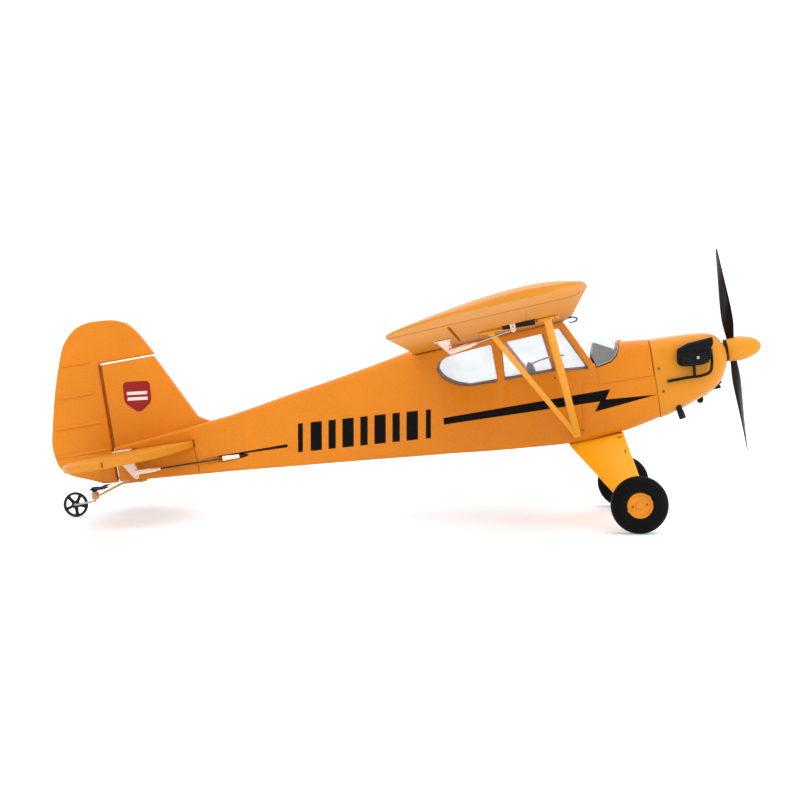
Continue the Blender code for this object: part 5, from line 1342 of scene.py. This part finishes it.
def make_cowl():
    """The cowl with its screws, chin intake, scoop, exhaust and dummy engine."""
    rows = refine(COWL_ROWS, 6)
    shell = loft([cowl_ring(*row) for row in rows])
    wall = 0.0016
    inner = [(x - (0.003 if x > -0.02 else 0.0), half - wall, top - wall, bottom + wall, corner)
             for x, half, top, bottom, corner in COWL_ROWS[:-1]]
    inner[0] = (-0.065, *inner[0][1:])
    cutters = [loft([cowl_ring(*row) for row in inner]),
               rod((-0.02, 0, 0), (0.01, 0, 0), 0.0060, segments=40),
               box((-0.0255, -0.0100, -0.0320), (-0.0140, 0.0100, -0.0150))]
    piece("cowl_shell", soften(carve(shell, cutters), 0.0005, 2, 50), COWL_YELLOW,
          replaced=["cowl"], smooth=35)
    heads = []
    for _, side in SIDES:
        for x, z in ((-0.0554, -0.0040), (-0.0547, -0.0198)):
            heads.append(screw((x, side * cowl_side(x), z), (0, side, 0), 0.0010, 0.0004))
    piece("cowl_screws", joined(heads), SCREW)

    grille = [box((-0.0256, -0.0098, -0.0250), (-0.0137, 0.0098, -0.0228))]
    for y in (-0.0065, -0.0022, 0.0022, 0.0065):
        grille.append(plate([(-0.0140, -0.0215), (-0.0140, -0.0228), (-0.0252, -0.0286),
                             (-0.0252, -0.0240)], 0.0009, SIDE_VIEW, y))
    lip = tube([(-0.0134, -0.0102, -0.0205), (-0.0134, 0.0102, -0.0205),
                (-0.0258, 0.0102, -0.0276), (-0.0258, -0.0102, -0.0276),
                (-0.0134, -0.0102, -0.0205)], 0.0009, smooth=False)
    piece("chin_intake_grille", joined([soften(g, 0.0002) for g in grille] + [lip]), BLACK)
    scoop = plate(rounded([(-0.0305, -0.0270), (-0.0262, -0.0262), (-0.0262, -0.0318),
                           (-0.0278, -0.0335), (-0.0302, -0.0330)], 0.0006), 0.0090, SIDE_VIEW, 0)
    piece("oil_scoop", soften(scoop, 0.0005), BLACK)
    stub = turned([(0.0017, 0.0), (0.0024, 0.0), (0.0024, 0.0052), (0.0021, 0.0056),
                   (0.0021, 0.0100), (0.0017, 0.0100)], (-0.0441, -0.0230, -0.0406),
                  Vector((-0.0013, 0, 0.0063)).normalized(), 32)
    piece("exhaust_pipe", stub, BLACK, replaced=["exhaust_stub"])
    for name, side in SIDES:
        make_engine(name, side)


def make_engine(name, side):
    """A dummy cylinder: finned barrel, rocker cover, head screw and breather pipes."""
    y = side * 0.0294
    block = rounded([(-0.0430, -0.0020), (-0.0415, 0.0074), (-0.0337, 0.0103),
                     (-0.0164, 0.0120), (-0.0168, 0.0068), (-0.0189, 0.0044),
                     (-0.0199, -0.0030), (-0.0245, -0.0057), (-0.0334, -0.0057),
                     (-0.0405, -0.0048)], 0.0016)
    body = soften(plate(block, 0.0046, SIDE_VIEW, y), 0.0010, 3)
    cover = rounded([(-0.0415, 0.0006), (-0.0404, 0.0066), (-0.0335, 0.0093),
                     (-0.0180, 0.0108), (-0.0190, 0.0052), (-0.0260, 0.0030)], 0.0014)
    shapes = [body, soften(plate(cover, 0.0012, SIDE_VIEW, y + side * 0.0026), 0.0005, 3)]
    for k in range(6):
        z = -0.0048 + 0.0013 * k
        fin = rounded([(-0.0395, z), (-0.0212, z), (-0.0212, z + 0.0006), (-0.0395, z + 0.0006)],
                      0.0003, 2)
        shapes.append(plate(fin, 0.0012, SIDE_VIEW, y + side * 0.0024))
    shapes.append(soften(rod((-0.0286, y, -0.0006), (-0.0286, y + side * 0.0036, -0.0006),
                             0.0034, 0.0030, 32), 0.0003))
    piece(f"cylinder_block_{name}", joined(shapes), BLACK, replaced=[f"engine_block_{name}"])
    piece(f"cylinder_screw_{name}", screw((-0.0286, y + side * 0.0037, -0.0004), (0, side, 0),
                                          0.0011, 0.0004), STEEL)
    wire = [(-0.0187, y, 0.0040), (-0.0200, y, -0.0080), (-0.0215, y, -0.0112),
            (-0.0250, y, -0.0127), (-0.0380, y * 0.985, -0.0130), (-0.0512, y * 0.965, -0.0134)]
    pipes = [tube(wire, 0.0010), tube([(-0.0316, y, -0.0045), (-0.0324, y, -0.0124)], 0.0010)]
    piece(f"breather_pipe_{name}", joined(pipes), BLACK, smooth=60)


def make_propeller():
    """Two twisted blades on a hub, the back plate and the slotted spinner."""
    rings = []
    for share, chord, degrees in refine(BLADE_ROWS, 5):
        pitch = math.radians(degrees)
        thick = 0.0026 * (1 - share) + 0.0007
        forward = Vector((math.sin(pitch), -math.cos(pitch), 0))
        normal = Vector((math.cos(pitch), math.sin(pitch), 0))
        middle = Vector((PROP_X, 0, share * PROP_RADIUS))
        ring = []
        for k in range(20):
            turn = 2 * math.pi * k / 20
            lift = math.sin(turn)
            ring.append(middle + forward * (chord * 0.5 * math.cos(turn))
                        + normal * (thick * (0.50 if lift > 0 else 0.35) * lift
                                    + thick * 0.10 * abs(lift)))
        rings.append(ring)
    blade = loft(rings, split=False)
    other = blade.copy()
    other.transform(Matrix.Rotation(math.pi, 4, "X"))
    radius, ahead, behind = SPINNER_BORE - 0.0005, PROP_X + 0.0036, PROP_X - 0.0035
    hub = turned([(0.0, ahead), (radius - 0.0005, ahead), (radius, ahead - 0.0005),
                  (radius, behind + 0.0005), (radius - 0.0005, behind), (0.0, behind)],
                 (0, 0, 0), (1, 0, 0), 48)
    disc = [(0.0, -0.0050), (0.0076, -0.0050), (0.0079, -0.0053), (0.0079, -0.0060),
            (0.0076, -0.0063), (0.0, -0.0063)]
    piece("propeller_backplate", turned(disc, (0, 0, 0), (1, 0, 0), 48), BLACK, "propeller")
    piece("propeller_blades", joined([blade, other, hub]), PROP_BLACK, "propeller",
          ["propeller"], smooth=50)
    profile = [(0.0, SPINNER_LENGTH)]
    for k in range(1, 24):
        turn = math.radians(90 * k / 24)
        profile.append((SPINNER_RADIUS * math.sin(turn) ** 0.9,
                        0.0006 + (SPINNER_LENGTH - 0.0006) * math.cos(turn) ** 1.1))
    profile += [(SPINNER_RADIUS, 0.0006), (SPINNER_RADIUS - 0.0003, SPINNER_BASE + 0.0004),
                (SPINNER_RADIUS - 0.0007, SPINNER_BASE), (SPINNER_BORE, SPINNER_BASE),
                (SPINNER_BORE, 0.0028), (0.0, 0.0028)]
    slots = box((SPINNER_BASE - 0.0014, -0.0034, -0.0200), (0.0024, 0.0034, 0.0200))
    cone = carve(turned(profile, (0, 0, 0), (1, 0, 0), 72), [slots])
    piece("spinner_cone", cone, SPINNER_YELLOW, "propeller",
          ["spinner"], smooth=45)


# ---------------------------------------------------------------- inside
def make_inside():
    """Instrument panel, seat, rail and the aileron servo's lead."""
    panel = [(-0.0946, 0.0020), (-0.0994, 0.0085), (-0.0953, 0.0200), (-0.0834, 0.0139),
             (-0.0822, 0.0093)]
    block = soften(plate(panel, 0.0400, SIDE_VIEW, 0), 0.0010, 3)
    piece("instrument_panel_block", block, BLACK, "hatch", ["instrument_panel"])
    low, high = Vector((-0.0994, 0, 0.0085)), Vector((-0.0953, 0, 0.0200))
    top = [(-0.0948, 0.0201), (-0.0846, 0.0149), (-0.0846, 0.0145), (-0.0948, 0.0197)]
    cover = plate(top, 0.0372, SIDE_VIEW, 0)
    piece("panel_cover", soften(cover, 0.0001), PANEL_FACE, "hatch")
    out = Vector((high.z - low.z, 0, low.x - high.x)).normalized() * -1
    dials = []
    for k in range(5):
        place = low.lerp(high, 0.5) + Vector((0, -0.0140 + 0.0070 * k, 0)) + out * 0.0001
        dials.append(soften(rod(place, place + out * 0.0004, 0.0026, segments=32), 0.0001))
    piece("panel_dials", joined(dials), PANEL_FACE, "hatch")
    seat = rounded([(-0.1440, -0.0006), (-0.1445, 0.0114), (-0.1425, 0.0142),
                    (-0.1395, 0.0119), (-0.1375, 0.0024), (-0.1200, 0.0014),
                    (-0.1200, -0.0006)], 0.0012)
    shapes = [soften(plate(seat, 0.0240, SIDE_VIEW, 0), 0.0014, 3)]
    floor = belly(-0.152) + WALL + 0.0012
    for _, side in SIDES:
        shapes.append(soften(box((-0.1425, side * 0.0030, floor + 0.0066),
                                 (-0.1390, side * 0.0070, 0.0000)), 0.0004))
    piece("seat_bucket", joined(shapes), GREY, replaced=["seat"])
    rail = [(-0.1425, -0.0110, 0.0125), (-0.1300, -0.0118, 0.0150), (-0.1175, -0.0118, 0.0152)]
    piece("seat_rail", tube(rail, 0.0006), PALE, smooth=60)
    loop = []
    for k in range(13):
        turn = math.radians(-130 + 260 * k / 12)
        loop.append((-0.1088 + 0.0033 * math.cos(turn), -0.0302 - 0.0010 * math.cos(turn),
                     0.0388 + 0.0017 * math.sin(turn)))
    piece("aileron_lead_loop", tube(loop, 0.0005), BLACK, replaced=["aileron_lead"],
          smooth=60)


# ---------------------------------------------------------------- carried-over CAD nodes
def dress_frame():
    """Every CAD node still shown takes the material of its slot."""
    slots = {part["node"]: part["material_slot"] for part in frame["record"]["subparts"]}
    for name, node in frame["nodes"].items():
        if node.hide_render:
            continue
        node.data.materials.clear()
        node.data.materials.append(PLATES[slots[name]])


# ---------------------------------------------------------------- studio
def make_studio():
    """A seamless pale sheet, an even white surround and three soft lights."""
    bm = bmesh.new()
    size, front, bend, steps, radius = 6.0, -4.0, 1.6, 12, 1.2
    profile = [(front, 0.0)] + arc_points(bend, radius, radius, radius, -90, 0, steps)
    profile.append((bend + radius, size))
    columns = [[bm.verts.new((x, y, z)) for y, z in profile] for x in (-size, size)]
    for i in range(len(profile) - 1):
        bm.faces.new((columns[0][i], columns[1][i], columns[1][i + 1], columns[0][i + 1]))
    mesh = mesh_from(bm)
    mesh.shade_smooth()
    floor = placed(mesh, "studio_floor")
    # The floor sheet glows faintly with a cool tint: painted light that lifts the aeroplane's shadow on it and
    # cancels the orange cast from its bounce.
    sheet = surface("studio_sheet_painted_glow", (0.93, 0.93, 0.93), rough=0.9, mottle=0.004, grain=0.0,
                    Emission_Color=(0.42, 0.78, 1.0, 1.0), Emission_Strength=0.30)
    mesh.materials.append(sheet)

    world = bpy.data.worlds.new("studio")
    world.use_nodes = True
    set_inputs(world.node_tree.nodes["Background"], {"Color": (1, 1, 1, 1), "Strength": 1.0})
    bpy.context.scene.world = world
    add_light("key", (-0.5, -1.6, 2.2), 2.2, 21)
    add_light("fill", (1.8, -1.0, 1.2), 1.8, 10)
    add_light("top", (0.0, 0.6, 2.6), 3.0, 27)


def add_light(name, place, size, power):
    """A square soft light aimed at the aeroplane."""
    light = bpy.data.lights.new(name, "AREA")
    light.size = size
    light.energy = power
    obj = placed(light, name)
    obj.location = place
    aim = Vector((0, 0, 0.08)) - Vector(place)
    obj.rotation_euler = aim.to_track_quat("-Z", "Y").to_euler()


def make_camera():
    """The photograph's view."""
    camera = bpy.data.cameras.new("camera")
    camera.sensor_width, camera.lens, camera.clip_end = CAMERA_SENSOR, CAMERA_LENS, 50
    obj = placed(camera, "camera")
    yaw, pitch, roll = CAMERA_YAW, CAMERA_PITCH, CAMERA_ROLL
    look = Vector((-math.sin(yaw) * math.cos(pitch), math.cos(yaw) * math.cos(pitch),
                   -math.sin(pitch)))
    obj.rotation_mode = "QUATERNION"
    facing = look.to_track_quat("-Z", "Y")
    obj.rotation_quaternion = facing @ Matrix.Rotation(roll, 3, "Z").to_quaternion()
    obj.location = CAMERA_PLACE
    bpy.context.scene.camera = obj


make_fuselage()
make_hatch()
make_windshield()
make_wing()
make_struts()
make_tail()
make_undercarriage()
make_cowl()
make_propeller()
make_inside()
dress_frame()
make_studio()
make_camera()
bpy.context.scene.view_settings.view_transform = "Standard"
